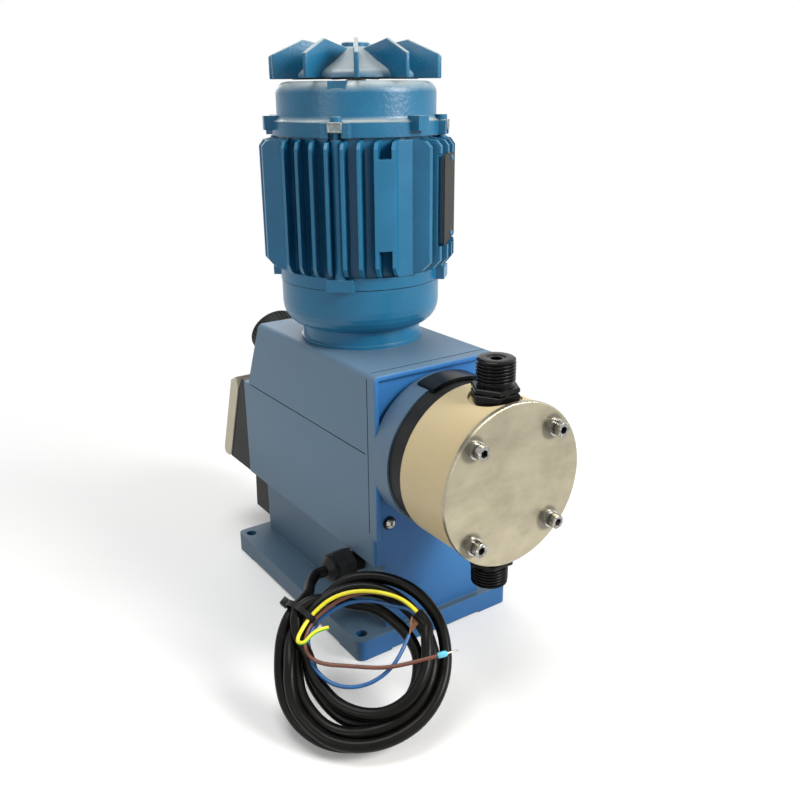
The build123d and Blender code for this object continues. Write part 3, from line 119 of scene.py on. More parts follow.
bpy.ops.mesh.primitive_plane_add(size=9.0, location=(0, 0, -0.0004))
floor = bpy.context.object
floor.name = "studio_floor"
floor_paint = bpy.data.materials.new("floor_paint")
floor_paint.use_nodes = True
floor_shader = floor_paint.node_tree.nodes["Principled BSDF"]
floor_shader.inputs["Base Color"].default_value = (0.93, 0.93, 0.925, 1)
floor_shader.inputs["Roughness"].default_value = 0.9
floor_shader.inputs["Specular IOR Level"].default_value = 0.1
floor_tree = floor_paint.node_tree
floor_place = floor_tree.nodes.new("ShaderNodeTexCoord")
floor_reach = floor_tree.nodes.new("ShaderNodeVectorMath")
floor_reach.operation = "LENGTH"
floor_tree.links.new(floor_place.outputs["Object"], floor_reach.inputs[0])
floor_fade = floor_tree.nodes.new("ShaderNodeMapRange")
floor_fade.interpolation_type = "SMOOTHSTEP"
floor_fade.inputs["From Min"].default_value = 0.22
floor_fade.inputs["From Max"].default_value = 0.75
floor_fade.inputs["To Min"].default_value = 0.12
floor_fade.inputs["To Max"].default_value = 1.0
floor_tree.links.new(floor_reach.outputs["Value"], floor_fade.inputs["Value"])
floor_glow = floor_tree.nodes.new("ShaderNodeEmission")
floor_glow.inputs["Color"].default_value = (1, 1, 1, 1)
floor_mix = floor_tree.nodes.new("ShaderNodeMixShader")
floor_tree.links.new(floor_fade.outputs["Result"], floor_mix.inputs["Fac"])
floor_tree.links.new(floor_shader.outputs["BSDF"], floor_mix.inputs[1])
floor_tree.links.new(floor_glow.outputs["Emission"], floor_mix.inputs[2])
floor_tree.links.new(floor_mix.outputs["Shader"], floor_tree.nodes["Material Output"].inputs["Surface"])
seen_strength(floor_tree, 0.25, floor_glow.inputs["Strength"])
floor.data.materials.append(floor_paint)

# ---- Supply cable and its coil ----------------------------------------------
# Three-core sheathed cable, 8.6 mm thick. It leaves the gland, runs back to a hand
# coil of nearly five turns and ends in a cut sheath on top of the coil.
COIL_CENTRE = Vector((-0.0998, -0.1525, 0.0439))
COIL_RIGHT = Vector((0.758, -0.653, 0.0))
COIL_UP = Vector((0.525, 0.610, 0.594))
COIL_NORMAL = COIL_RIGHT.cross(COIL_UP)
RING_RADIUS = 0.0535
CABLE_RADIUS = 0.0043
TIE_ANGLE = 149.0


def coil_point(right, up, towards_viewer):
    """Point in the coil's plane, from millimetres to metres."""
    return COIL_CENTRE + (COIL_RIGHT * right + COIL_UP * up + COIL_NORMAL * towards_viewer) * 0.001


def surface(name, colour, second, roughness, mottle=30.0, bump=0.1, grain=900.0, metallic=0.0,
            stretch=(1, 1, 1), rough_spread=0.12, dust=None, contrast=0.35, coat=0.0, edge=None,
            specular=0.5):
    """Procedural finish: two colours mixed by a soft noise, a grained bump and uneven gloss."""
    material = bpy.data.materials.new(name)
    material.use_nodes = True
    tree = material.node_tree
    shader = tree.nodes["Principled BSDF"]
    shader.inputs["Metallic"].default_value = metallic
    shader.inputs["Coat Weight"].default_value = coat
    shader.inputs["Specular IOR Level"].default_value = specular
    place = tree.nodes.new("ShaderNodeTexCoord")
    mapping = tree.nodes.new("ShaderNodeMapping")
    mapping.inputs["Scale"].default_value = stretch
    tree.links.new(place.outputs["Object"], mapping.inputs["Vector"])
    cloud = tree.nodes.new("ShaderNodeTexNoise")
    cloud.inputs["Scale"].default_value = mottle
    cloud.inputs["Detail"].default_value = 5.0
    cloud.inputs["Roughness"].default_value = 0.62
    tree.links.new(mapping.outputs["Vector"], cloud.inputs["Vector"])
    ramp = tree.nodes.new("ShaderNodeValToRGB")
    ramp.color_ramp.elements[0].position = 0.5 - contrast / 2
    ramp.color_ramp.elements[1].position = 0.5 + contrast / 2
    ramp.color_ramp.elements[0].color = (*colour, 1)
    ramp.color_ramp.elements[1].color = (*second, 1)
    tree.links.new(cloud.outputs["Fac"], ramp.inputs["Fac"])
    tint = ramp.outputs["Color"]
    if dust is not None:
        facing = tree.nodes.new("ShaderNodeNewGeometry")
        parts = tree.nodes.new("ShaderNodeSeparateXYZ")
        tree.links.new(facing.outputs["Normal"], parts.inputs["Vector"])
        amount = tree.nodes.new("ShaderNodeMath")
        amount.operation = "MULTIPLY"
        tree.links.new(parts.outputs["Z"], amount.inputs[0])
        tree.links.new(cloud.outputs["Fac"], amount.inputs[1])
        fade = tree.nodes.new("ShaderNodeMapRange")
        fade.inputs["From Min"].default_value = dust[1]
        fade.inputs["From Max"].default_value = dust[2]
        fade.inputs["To Max"].default_value = dust[3]
        tree.links.new(amount.outputs["Value"], fade.inputs["Value"])
        layer = tree.nodes.new("ShaderNodeMix")
        layer.data_type = "RGBA"
        tree.links.new(fade.outputs["Result"], layer.inputs["Factor"])
        tree.links.new(tint, layer.inputs[6])
        layer.inputs[7].default_value = (*dust[0], 1)
        tint = layer.outputs[2]
    soft_edge = None
    # Lighter colour on sharp edges, found by comparing the bevelled normal with the true one: edge wear and a painted
    # highlight of the rounded edges.
    if edge is not None:
        soft_edge = tree.nodes.new("ShaderNodeBevel")
        soft_edge.samples = 4
        soft_edge.inputs["Radius"].default_value = edge[1]
        true_face = tree.nodes.new("ShaderNodeNewGeometry")
        likeness = tree.nodes.new("ShaderNodeVectorMath")
        likeness.operation = "DOT_PRODUCT"
        tree.links.new(soft_edge.outputs["Normal"], likeness.inputs[0])
        tree.links.new(true_face.outputs["Normal"], likeness.inputs[1])
        wear_and_highlight = tree.nodes.new("ShaderNodeMapRange")
        wear_and_highlight.inputs["From Min"].default_value = 0.985
        wear_and_highlight.inputs["From Max"].default_value = 0.86
        wear_and_highlight.inputs["To Max"].default_value = edge[2]
        tree.links.new(likeness.outputs["Value"], wear_and_highlight.inputs["Value"])
        uneven = tree.nodes.new("ShaderNodeMath")
        uneven.operation = "MULTIPLY"
        tree.links.new(wear_and_highlight.outputs["Result"], uneven.inputs[0])
        tree.links.new(cloud.outputs["Fac"], uneven.inputs[1])
        worn_and_highlit = tree.nodes.new("ShaderNodeMix")
        worn_and_highlit.data_type = "RGBA"
        tree.links.new(uneven.outputs["Value"], worn_and_highlit.inputs["Factor"])
        tree.links.new(tint, worn_and_highlit.inputs[6])
        worn_and_highlit.inputs[7].default_value = (*edge[0], 1)
        tint = worn_and_highlit.outputs[2]
    tree.links.new(tint, shader.inputs["Base Color"])
    fine = tree.nodes.new("ShaderNodeTexNoise")
    fine.inputs["Scale"].default_value = grain
    fine.inputs["Detail"].default_value = 3.0
    tree.links.new(mapping.outputs["Vector"], fine.inputs["Vector"])
    relief = tree.nodes.new("ShaderNodeBump")
    relief.inputs["Strength"].default_value = bump
    relief.inputs["Distance"].default_value = 0.0004
    if soft_edge is not None:
        tree.links.new(soft_edge.outputs["Normal"], relief.inputs["Normal"])
    tree.links.new(fine.outputs["Fac"], relief.inputs["Height"])
    tree.links.new(relief.outputs["Normal"], shader.inputs["Normal"])
    gloss = tree.nodes.new("ShaderNodeMapRange")
    gloss.inputs["To Min"].default_value = max(0.05, roughness - rough_spread)
    gloss.inputs["To Max"].default_value = min(1.0, roughness + rough_spread)
    tree.links.new(cloud.outputs["Fac"], gloss.inputs["Value"])
    tree.links.new(gloss.outputs["Result"], shader.inputs["Roughness"])
    return material


def cord_curve(name, points, radius, material):
    """Round cord along one smooth spline through the route's control points."""
    curve = bpy.data.curves.new(name, "CURVE")
    curve.dimensions = "3D"
    curve.bevel_depth = radius
    curve.bevel_resolution = 5
    curve.resolution_u = 6
    curve.use_fill_caps = True
    spline = curve.splines.new("NURBS")
    spline.points.add(len(points) - 1)
    for control, point in zip(spline.points, points):
        control.co = (*point, 1)
    spline.order_u = 3
    spline.use_endpoint_u = True
    cord = bpy.data.objects.new(name, curve)
    bpy.context.scene.collection.objects.link(cord)
    curve.materials.append(material)
    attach(cord, "frame")
    return cord


def eased(value):
    """Smooth step between 0 and 1."""
    value = max(0.0, min(1.0, value))
    return value * value * (3 - 2 * value)


TIED_PLACES = [(7.35, 0.0), (2.27, -6.99), (-5.95, -4.32), (-5.95, 4.32), (2.27, 6.99), (7.35, 0.0)]
LOOSE_TURNS = [
    [(40, 3.5, -4), (82, 7, -4.4), (107, 7.2, -4.6), (127, 4, -6.5), (147, 2, -7.5), (172, 0, -8),
     (217, -1, -8.5), (235, -5, -7), (262, -5, -7.5), (307, -3, -7)],
    [(40, -5.5, 6.5), (82, 2.5, 4), (107, 6.5, 4.2), (127, 7.3, 4.5), (147, 7.3, 3), (172, 7.3, 0.5),
     (217, 6.2, -0.5), (235, 6.8, 0), (262, 7, 0), (307, 5, 0.5)],
    [(40, -9, -1.5), (82, -4.5, -2.5), (107, -1.5, -2.5), (127, -1.5, 1.5), (147, -1.5, 2), (172, -1.3, 1),
     (217, -2.3, 2), (235, -5, 1.8), (262, -5, 1.5), (307, -3.5, 2)],
    [(40, -16, -7), (82, -16.5, -7), (107, -12, -6), (127, -9, -5), (147, -8.5, -5.5), (172, -9, -5.5),
     (217, -13.5, -7), (235, -16, -7.5), (262, -18, -8), (307, -15, -6)],
    [(40, -18.5, 3), (82, -20, 2.5), (107, -17.5, 3), (127, -13.5, 4.5), (147, -9.5, 6.5), (172, -6, 9.5),
     (217, -6, 11), (250, -5.7, 11.5), (262, -5.7, 11.5)],
]


def strand_place(travel):
    """Point of the coiled cable, travel being degrees round the ring from the tie."""
    turn = max(0, min(4, int(travel // 360)))
    stations = [(0, *TIED_PLACES[turn])] + LOOSE_TURNS[turn]
    if turn < 4:
        stations.append((360, *TIED_PLACES[turn + 1]))
    place = travel - 360 * turn
    for low, high in zip(stations, stations[1:]):
        if low[0] <= place <= high[0]:
            break
    share = eased((place - low[0]) / (high[0] - low[0]))
    out = low[1] + (high[1] - low[1]) * share
    front = low[2] + (high[2] - low[2]) * share
    angle = math.radians(TIE_ANGLE + travel)
    radius = RING_RADIUS * 1000 + out
    return coil_point(radius * math.cos(angle), radius * math.sin(angle), front)


GLAND_MOUTH = Vector((-0.078, -0.067, 0.0615))
cable_points = [GLAND_MOUTH + Vector(step) for step in (
    (0.004, 0, 0), (-0.003, 0, 0), (-0.009, 0, 0), (-0.019, -0.009, -0.001), (-0.026, -0.022, 0.0005))]
cable_points += [strand_place(travel) for travel in range(3, 4 * 360 + 240, 16)]
cable_points.append(coil_point(46, 22, 8.9))
cable_points.append(coil_point(38, 29, 11.5))
cable_sheath = surface("cable_sheath", (0.0024, 0.0027, 0.0030), (0.0066, 0.0060, 0.0048), 0.3,
                       mottle=60, bump=0.08, grain=1500, rough_spread=0.1, specular=0.12)
supply_cable = cord_curve("supply_cable", cable_points, CABLE_RADIUS, cable_sheath)
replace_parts(supply_cable, "cable", "cable_coil")

# ---- Zip tie ----------------------------------------------------------------
# Black nylon band pulled tight round the five turns and the three cores, with its
# square lock outside the ring and a short cut tail.


def deselect():
    if bpy.context.object is not None and bpy.context.object.mode != "OBJECT":
        bpy.ops.object.mode_set(mode="OBJECT")
    bpy.ops.object.select_all(action="DESELECT")


def name_it(name, material=None):
    """Name the object just added, apply its place to the mesh and give it a finish."""
    piece = bpy.context.object
    piece.name = name
    piece.data.name = name
    bpy.ops.object.transform_apply(location=True, rotation=True, scale=True)
    if material is not None:
        piece.data.materials.append(material)
    return piece


def rounded(piece, width, segments=2, angle=35):
    """Bevel the sharp edges of a piece and shade it smooth."""
    bevel = piece.modifiers.new("edge_rounding", "BEVEL")
    bevel.width = width
    bevel.segments = segments
    bevel.limit_method = "ANGLE"
    bevel.angle_limit = math.radians(angle)
    deselect()
    bpy.context.view_layer.objects.active = piece
    piece.select_set(True)
    bpy.ops.object.modifier_apply(modifier=bevel.name)
    bpy.ops.object.shade_smooth_by_angle(angle=math.radians(32))


def joined(name, pieces):
    """Join several meshes into one piece."""
    deselect()
    for piece in pieces:
        piece.select_set(True)
    bpy.context.view_layer.objects.active = pieces[0]
    bpy.ops.object.join()
    pieces[0].name = name
    return pieces[0]


def moulded_black(name, roughness=0.42, shade=0.008, bump=0.1, edge=None, specular=0.16):
    return surface(name, (shade * 0.6, shade * 0.66, shade * 0.7), (shade * 1.3, shade * 1.33, shade * 1.36),
                   roughness, mottle=45, bump=bump, grain=1300, edge=edge, specular=specular)


tie_nylon = moulded_black("tie_nylon", 0.35, 0.009)
tie_turn = math.radians(TIE_ANGLE)
tie_out = COIL_RIGHT * math.cos(tie_turn) + COIL_UP * math.sin(tie_turn)
tie_along = COIL_UP * math.cos(tie_turn) - COIL_RIGHT * math.sin(tie_turn)
tie_centre = COIL_CENTRE + tie_out * RING_RADIUS + (tie_out * -0.906 + COIL_NORMAL * 0.423) * 0.0014
tie_axes = Matrix((tie_out, tie_along.cross(tie_out), tie_along)).transposed().to_4x4()
tie_axes.translation = tie_centre
TIE_BAND_RADIUS = 0.01305

deselect()
bpy.ops.mesh.primitive_cylinder_add(vertices=56, radius=TIE_BAND_RADIUS + 0.0011, depth=0.0042, end_fill_type="NOTHING")
tie_band = name_it("tie_band", tie_nylon)
wall = tie_band.modifiers.new("thickness", "SOLIDIFY")
wall.thickness = 0.0011
wall.offset = -1
bpy.ops.object.modifier_apply(modifier="thickness")
rounded(tie_band, 0.0002, 1)
deselect()
bpy.ops.mesh.primitive_cube_add(size=1, location=(TIE_BAND_RADIUS + 0.0030, 0, 0), scale=(0.0046, 0.0064, 0.0060))
tie_lock = name_it("tie_lock", tie_nylon)
bpy.ops.object.mode_set(mode="EDIT")
bpy.ops.mesh.select_all(action="DESELECT")
bpy.ops.object.mode_set(mode="OBJECT")
for face in tie_lock.data.polygons:
    face.select = face.normal.y > 0.9
bpy.ops.object.mode_set(mode="EDIT")
bpy.ops.mesh.inset(thickness=0.0011)
bpy.ops.mesh.extrude_region_move(TRANSFORM_OT_translate={"value": (0, -0.0022, 0)})
bpy.ops.object.mode_set(mode="OBJECT")
rounded(tie_lock, 0.0003, 2)
deselect()
bpy.ops.mesh.primitive_cube_add(size=1, location=(TIE_BAND_RADIUS + 0.0031, 0.0055, 0), scale=(0.0011, 0.0060, 0.0038))
tie_tail = name_it("tie_tail", tie_nylon)
rounded(tie_tail, 0.0002, 1)
zip_tie = joined("zip_tie_band", [tie_band, tie_lock, tie_tail])
zip_tie.data.transform(tie_axes)
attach(zip_tie, "frame")
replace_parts(zip_tie, "zip_tie")

# ---- Stripped cores ---------------------------------------------------------
# Earth, neutral and live cores of soft PVC. They leave the cut sheath, pass under
# the tie and end bare, bent back, and in a crimped ferrule.
CORE_RADIUS = 0.0014
sheath_end = coil_point(38, 29, 11.5)
sheath_way = (sheath_end - coil_point(46, 22, 8.5)).normalized()


def core_route(turn, places):
    """Control points of one core, from the sheath's face through coil points."""
    turned = math.radians(turn)
    beside = COIL_NORMAL.cross(sheath_way)
    start = sheath_end + (COIL_NORMAL * math.cos(turned) + beside * math.sin(turned)) * 0.00175
    return [start, start + sheath_way * 0.006] + [coil_point(*place) for place in places]


earth_route = core_route(0, [
    (24, 39, 14), (8, 42.4, 13.6), (-9, 42.2, 12), (-23.5, 36.8, 10.6), (-32.3, 29.2, 8.7),
    (-38.2, 21.4, 8.4), (-42.5, 9.5, 11.5), (-42.6, 2.2, 14.8), (-37, 1.2, 16.8), (-33, 7.5, 17),
    (-27.5, 11.5, 17), (-21.5, 13.2, 17)])
brown_route = core_route(240, [
    (25, 39.5, 10.3), (8, 43.4, 10), (-9, 41, 8.3), (-22.5, 34.3, 6.8), (-35.9, 20.9, 5.3),
    (-39.5, 8, 7), (-36, -4, 10), (-25, -11, 13), (-3, -11.5, 14.5), (18, -11.8, 14.7),
    (37, -7, 14.5), (54, -1, 14.2)])
blue_route = core_route(120, [
    (22.5, 34, 7), (8, 38.5, 4.8), (-8, 38, 4), (-21.5, 32.2, 3), (-35, 20.2, 2.0),
    (-38, 8, 3.5), (-33.5, -8, 6), (-21, -20.5, 8.5), (-7, -25, 10), (8, -22.5, 10.5),
    (21, -13.5, 10.8), (29, -1, 10.8), (33.5, 14, 8.8)])


def core_plastic(name, colour, second):
    return surface(name, colour, second, 0.38, mottle=120, bump=0.05, grain=1800, rough_spread=0.08)


earth_sleeve = core_plastic("earth_sleeve", (0.80, 0.70, 0.015), (0.88, 0.80, 0.03))
stripe_tree = earth_sleeve.node_tree
stripe_place = stripe_tree.nodes.new("ShaderNodeTexCoord")
stripe_parts = stripe_tree.nodes.new("ShaderNodeSeparateXYZ")
stripe_tree.links.new(stripe_place.outputs["UV"], stripe_parts.inputs["Vector"])
stripe_wave = stripe_tree.nodes.new("ShaderNodeMath")
stripe_wave.operation = "COMPARE"
stripe_wave.inputs[1].default_value = 0.5
stripe_wave.inputs[2].default_value = 0.17
stripe_tree.links.new(stripe_parts.outputs["Y"], stripe_wave.inputs[0])
stripe_mix = stripe_tree.nodes.new("ShaderNodeMix")
stripe_mix.data_type = "RGBA"
stripe_shader = stripe_tree.nodes["Principled BSDF"]
stripe_tree.links.new(stripe_shader.inputs["Base Color"].links[0].from_socket, stripe_mix.inputs[6])
stripe_mix.inputs[7].default_value = (0.11, 0.48, 0.02, 1)
stripe_tree.links.new(stripe_wave.outputs["Value"], stripe_mix.inputs["Factor"])
stripe_tree.links.new(stripe_mix.outputs[2], stripe_shader.inputs["Base Color"])
brown_sleeve = core_plastic("brown_sleeve", (0.10, 0.030, 0.016), (0.15, 0.048, 0.025))
blue_sleeve = core_plastic("blue_sleeve", (0.002, 0.060, 0.20), (0.006, 0.10, 0.29))

earth_wire = cord_curve("earth_wire", earth_route, CORE_RADIUS, earth_sleeve)
brown_wire = cord_curve("brown_wire", brown_route, CORE_RADIUS, brown_sleeve)
blue_wire = cord_curve("blue_wire", blue_route, CORE_RADIUS, blue_sleeve)
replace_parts(earth_wire, "earth_core")
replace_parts(brown_wire, "brown_core")
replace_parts(blue_wire, "blue_core")


def bare_strands(name, start, way, side, length, count, spread, strand_radius, material):
    """Fan of fine copper strands at a core's end."""
    strands = []
    for index in range(count):
        offset = (index / (count - 1) - 0.5) * 2
        aim = (way + side * offset * spread).normalized()
        lift = side.cross(way).normalized() * math.sin(index * 2.4) * 0.0005
        deselect()
        bpy.ops.mesh.primitive_cylinder_add(vertices=6, radius=strand_radius, depth=length)
        strand = name_it(f"{name}_{index}", material)
        turn = aim.to_track_quat("Z", "Y").to_matrix().to_4x4()
        turn.translation = start + lift + aim * length * 0.5
        strand.data.transform(turn)
        strands.append(strand)
    return joined(name, strands)


copper_wire = surface("copper_wire", (0.42, 0.20, 0.10), (0.30, 0.15, 0.08), 0.35, metallic=0.9, mottle=300)
blue_end = coil_point(33.5, 14, 8.8)
blue_way = (blue_end - coil_point(29, -1, 10.8)).normalized()
blue_aim = (blue_way + COIL_NORMAL * 0.35 + COIL_RIGHT * 0.1).normalized()
blue_strands = bare_strands("blue_strands", blue_end, blue_aim, COIL_RIGHT, 0.013, 9, 0.30, 0.00022, copper_wire)
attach(blue_strands, "frame")
ferrule_plastic = surface("ferrule_plastic", (0.10, 0.52, 0.72), (0.16, 0.60, 0.78), 0.35, mottle=80, bump=0.04)
tinned_copper = surface("tinned_copper", (0.50, 0.46, 0.40), (0.62, 0.58, 0.52), 0.3, metallic=0.95, mottle=200)
ferrule_start = coil_point(54, -1, 14.2)
ferrule_way = (coil_point(62, 1.8, 14.2) - ferrule_start).normalized()
ferrule_axes = ferrule_way.to_track_quat("Z", "Y").to_matrix().to_4x4()
ferrule_axes.translation = ferrule_start


def turned(name, profile, sides, material, smooth=40):
    """Lathe a closed skin: a circle is extruded and scaled from one (radius, height) to the next."""
    deselect()
    radius, height = profile[0]
    bpy.ops.mesh.primitive_circle_add(vertices=sides, radius=radius, location=(0, 0, height), fill_type="NOTHING")
    piece = name_it(name, material)
    bpy.ops.object.mode_set(mode="EDIT")
    bpy.ops.mesh.select_all(action="SELECT")
    for next_radius, next_height in profile[1:]:
        bpy.ops.mesh.extrude_edges_move(TRANSFORM_OT_translate={"value": (0, 0, next_height - height)})
        if abs(next_radius - radius) > 1e-7:
            scale = next_radius / radius
            bpy.ops.transform.resize(value=(scale, scale, 1))
        radius, height = next_radius, next_height
    bpy.ops.mesh.select_all(action="SELECT")
    bpy.ops.mesh.remove_doubles(threshold=1e-6)
    bpy.ops.mesh.normals_make_consistent(inside=False)
    bpy.ops.object.mode_set(mode="OBJECT")
    bpy.ops.object.shade_smooth_by_angle(angle=math.radians(smooth))
    return piece


ferrule_collar = turned("ferrule_collar", [
    (0.0002, 0.0002), (0.0018, 0.0002), (0.0021, 0.0006), (0.0021, 0.0052), (0.0017, 0.0066), (0.0010, 0.0070),
    (0.0009, 0.0070)], 24, ferrule_plastic)
ferrule_tip = turned("ferrule_tip", [
    (0.0009, 0.0066), (0.0009, 0.0076), (0.0006, 0.0080), (0.0006, 0.0146), (0.0004, 0.0150), (0.0001, 0.0150)], 16, tinned_copper)
ferrule = joined("crimp_ferrule", [ferrule_collar, ferrule_tip])
ferrule.data.transform(ferrule_axes)
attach(ferrule, "frame")
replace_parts(ferrule, "core_ferrule")

# ---- Foot, gear housing, hood and bezel -------------------------------------
# Light-alloy casting and covers in one grey-blue paint. Faces that look to the front
# are painted a deeper blue as painted light, and the paint darkens towards the bottom as painted shade.


def paint_node(name, material):
    """Give a CAD node one finish."""
    node[name].data.materials.clear()
    node[name].data.materials.append(material)


def lit_front_and_low_shade(material, colour, second, spread):
    """Painted light and shade: deeper blue on front-facing faces, where the key lamp falls, and paint darkened towards
    the bottom.
    """
    tree = material.node_tree
    shader = tree.nodes["Principled BSDF"]
    facing = tree.nodes.new("ShaderNodeNewGeometry")
    parts = tree.nodes.new("ShaderNodeSeparateXYZ")
    tree.links.new(facing.outputs["Normal"], parts.inputs["Vector"])
    # Painted light: faces that look to the front take the deeper, brighter blue.
    mask = tree.nodes.new("ShaderNodeMapRange")
    mask.inputs["From Min"].default_value = -0.35
    mask.inputs["From Max"].default_value = -0.85
    tree.links.new(parts.outputs["Y"], mask.inputs["Value"])
    place = tree.nodes.new("ShaderNodeTexCoord")
    cloud = tree.nodes.new("ShaderNodeTexNoise")
    cloud.inputs["Scale"].default_value = 11.0
    cloud.inputs["Detail"].default_value = 6.0
    tree.links.new(place.outputs["Object"], cloud.inputs["Vector"])
    ramp = tree.nodes.new("ShaderNodeValToRGB")
    ramp.color_ramp.elements[0].position = 0.5 - spread
    ramp.color_ramp.elements[1].position = 0.5 + spread
    ramp.color_ramp.elements[0].color = (*colour, 1)
    ramp.color_ramp.elements[1].color = (*second, 1)
    smudge = ramp.color_ramp.elements.new(max(0.02, 0.5 - spread - 0.12))
    smudge.color = (colour[0] * 1.4, colour[1] * 0.62, colour[2] * 0.36, 1)
    tree.links.new(cloud.outputs["Fac"], ramp.inputs["Fac"])
    blend = tree.nodes.new("ShaderNodeMix")
    blend.data_type = "RGBA"
    tree.links.new(mask.outputs["Result"], blend.inputs["Factor"])
    tree.links.new(shader.inputs["Base Color"].links[0].from_socket, blend.inputs[6])
    tree.links.new(ramp.outputs["Color"], blend.inputs[7])
    # Painted shade: the colour is multiplied down towards the bottom, to 0.58 at 12 mm and below.
    height = tree.nodes.new("ShaderNodeSeparateXYZ")
    tree.links.new(place.outputs["Object"], height.inputs["Vector"])
    painted_low_shade = tree.nodes.new("ShaderNodeMapRange")
    painted_low_shade.inputs["From Min"].default_value = 0.012
    painted_low_shade.inputs["From Max"].default_value = 0.125
    painted_low_shade.inputs["To Min"].default_value = 0.58
    tree.links.new(height.outputs["Z"], painted_low_shade.inputs["Value"])
    low_shaded = tree.nodes.new("ShaderNodeMix")
    low_shaded.data_type = "RGBA"
    low_shaded.blend_type = "MULTIPLY"
    low_shaded.inputs["Factor"].default_value = 1.0
    tree.links.new(blend.outputs[2], low_shaded.inputs[6])
    tree.links.new(painted_low_shade.outputs["Result"], low_shaded.inputs[7])
    tree.links.new(low_shaded.outputs[2], shader.inputs["Base Color"])
    return material


housing_paint = lit_front_and_low_shade(
    surface("housing_paint", (0.100, 0.178, 0.262), (0.122, 0.212, 0.305), 0.50, mottle=9, bump=0.16, grain=420,
            contrast=0.5, edge=((0.26, 0.34, 0.40), 0.0016, 0.9), specular=0.35),
    (0.022, 0.150, 0.42), (0.040, 0.205, 0.52), 0.12)
for painted in ("gear_housing", "top_hood", "front_bezel"):
    paint_node(painted, housing_paint)
paint_node("lantern", surface("lantern_paint", (0.082, 0.145, 0.225), (0.105, 0.178, 0.265), 0.45, mottle=18,
                              bump=0.14, grain=420, contrast=0.5))

seam_rubber = moulded_black("seam_rubber", 0.8, 0.006)


def seam_frame(name, width, depth, wall, thickness):
    """Thin flat frame: a plane with its middle inset and cut out, then made solid."""
    deselect()
    bpy.ops.mesh.primitive_plane_add(size=1)
    bpy.context.object.scale = (width, depth, 1)
    frame_piece = name_it(name, seam_rubber)
    bpy.ops.object.mode_set(mode="EDIT")
    bpy.ops.mesh.select_all(action="SELECT")
    bpy.ops.mesh.bevel(offset=0.0045, segments=6, affect="VERTICES")
    bpy.ops.mesh.inset(thickness=wall, depth=0)
    bpy.ops.mesh.delete(type="FACE")
    bpy.ops.object.mode_set(mode="OBJECT")
    solid = frame_piece.modifiers.new("thickness", "SOLIDIFY")
    solid.thickness = thickness
    solid.offset = 0
    bpy.ops.object.modifier_apply(modifier="thickness")
    return frame_piece


hood_seam = seam_frame("hood_seam", 0.11016, 0.2012, 0.0012, 0.0007)
hood_seam.data.transform(Matrix.Translation((0, 0.00356, 0.164)))
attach(hood_seam, "frame")
bezel_seam = seam_frame("bezel_seam", 0.11016, 0.1291, 0.0012, 0.0007)
bezel_seam.data.transform(Matrix.Translation((0, -0.097, 0.16153)) @ Matrix.Rotation(math.radians(90), 4, "X"))
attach(bezel_seam, "frame")

# ---- Small steel parts ------------------------------------------------------
# Bright machined steel of the visible screws, and the duller steel, bronze, copper
# and ceramic inside.
bright_steel = surface("bright_steel", (0.62, 0.62, 0.60), (0.50, 0.50, 0.49), 0.28, metallic=1.0, mottle=220,
                       bump=0.06, grain=1600)
ground_steel = surface("ground_steel", (0.45, 0.45, 0.46), (0.36, 0.36, 0.37), 0.38, metallic=1.0, mottle=150,
                       bump=0.08, grain=1200)
bronze = surface("bronze", (0.55, 0.36, 0.14), (0.44, 0.28, 0.11), 0.36, metallic=1.0, mottle=90, bump=0.08)
sheet_stack = surface("sheet_stack", (0.20, 0.20, 0.21), (0.12, 0.12, 0.13), 0.5, metallic=0.8,
                      stretch=(1, 1, 60), mottle=40, bump=0.3)
varnished_copper = surface("varnished_copper", (0.40, 0.13, 0.05), (0.55, 0.22, 0.08), 0.32, metallic=0.6,
                           stretch=(1, 1, 25), mottle=90, bump=0.5, grain=500)
white_ceramic = surface("white_ceramic", (0.80, 0.79, 0.75), (0.86, 0.85, 0.82), 0.18, mottle=50, bump=0.02)
soft_rubber = moulded_black("soft_rubber", 0.7, 0.014)
for steel_node in ("head_screws", "head_washers", "wall_screws", "tie_bolts", "motor_screws", "lid_screws"):
    paint_node(steel_node, bright_steel)
for steel_node in ("motor_shaft", "worm", "eccentric_shaft", "gear_bearings", "bearing_caps", "motor_bearings",
                   "push_rod", "return_spring", "stroke_spindle", "diaphragm_core"):
    paint_node(steel_node, ground_steel)
for bronze_node in ("worm_wheel", "rod_bush", "spindle_guide"):
    paint_node(bronze_node, bronze)
for stack_node in ("rotor", "stator_core"):
    paint_node(stack_node, sheet_stack)
paint_node("stator_winding", varnished_copper)
for ceramic_node in ("discharge_valve_seat", "discharge_valve_ball", "suction_valve_seat", "suction_valve_ball"):
    paint_node(ceramic_node, white_ceramic)
for rubber_node in ("diaphragm", "discharge_valve_seal", "suction_valve_seal", "wall_screw_rings"):
    paint_node(rubber_node, soft_rubber)

HEAD_AXIS_Z = 0.1625

# ---- Liquid end -------------------------------------------------------------
# Black glass-filled backing ring and cap, cream dosing head, and a cover plate of
# brushed stainless steel with handling scratches.
ring_black = moulded_black("ring_black", 0.5, 0.016, 0.2)
paint_node("back_ring", ring_black)
paint_node("lantern_cap", moulded_black("cap_black", 0.3, 0.008, 0.05))
head_cream = surface("head_cream", (0.60, 0.485, 0.27), (0.66, 0.54, 0.31), 0.42, mottle=12, bump=0.05,
                     grain=700, contrast=0.5)
paint_node("dosing_head", head_cream)
plate_steel = surface("plate_steel", (0.49, 0.445, 0.325), (0.33, 0.295, 0.215), 0.36, metallic=1.0, mottle=30,
                      bump=0.10, grain=700, stretch=(1.0, 1.0, 1.6), contrast=0.42, rough_spread=0.16,
                      edge=((0.75, 0.73, 0.66), 0.0008, 1.0))
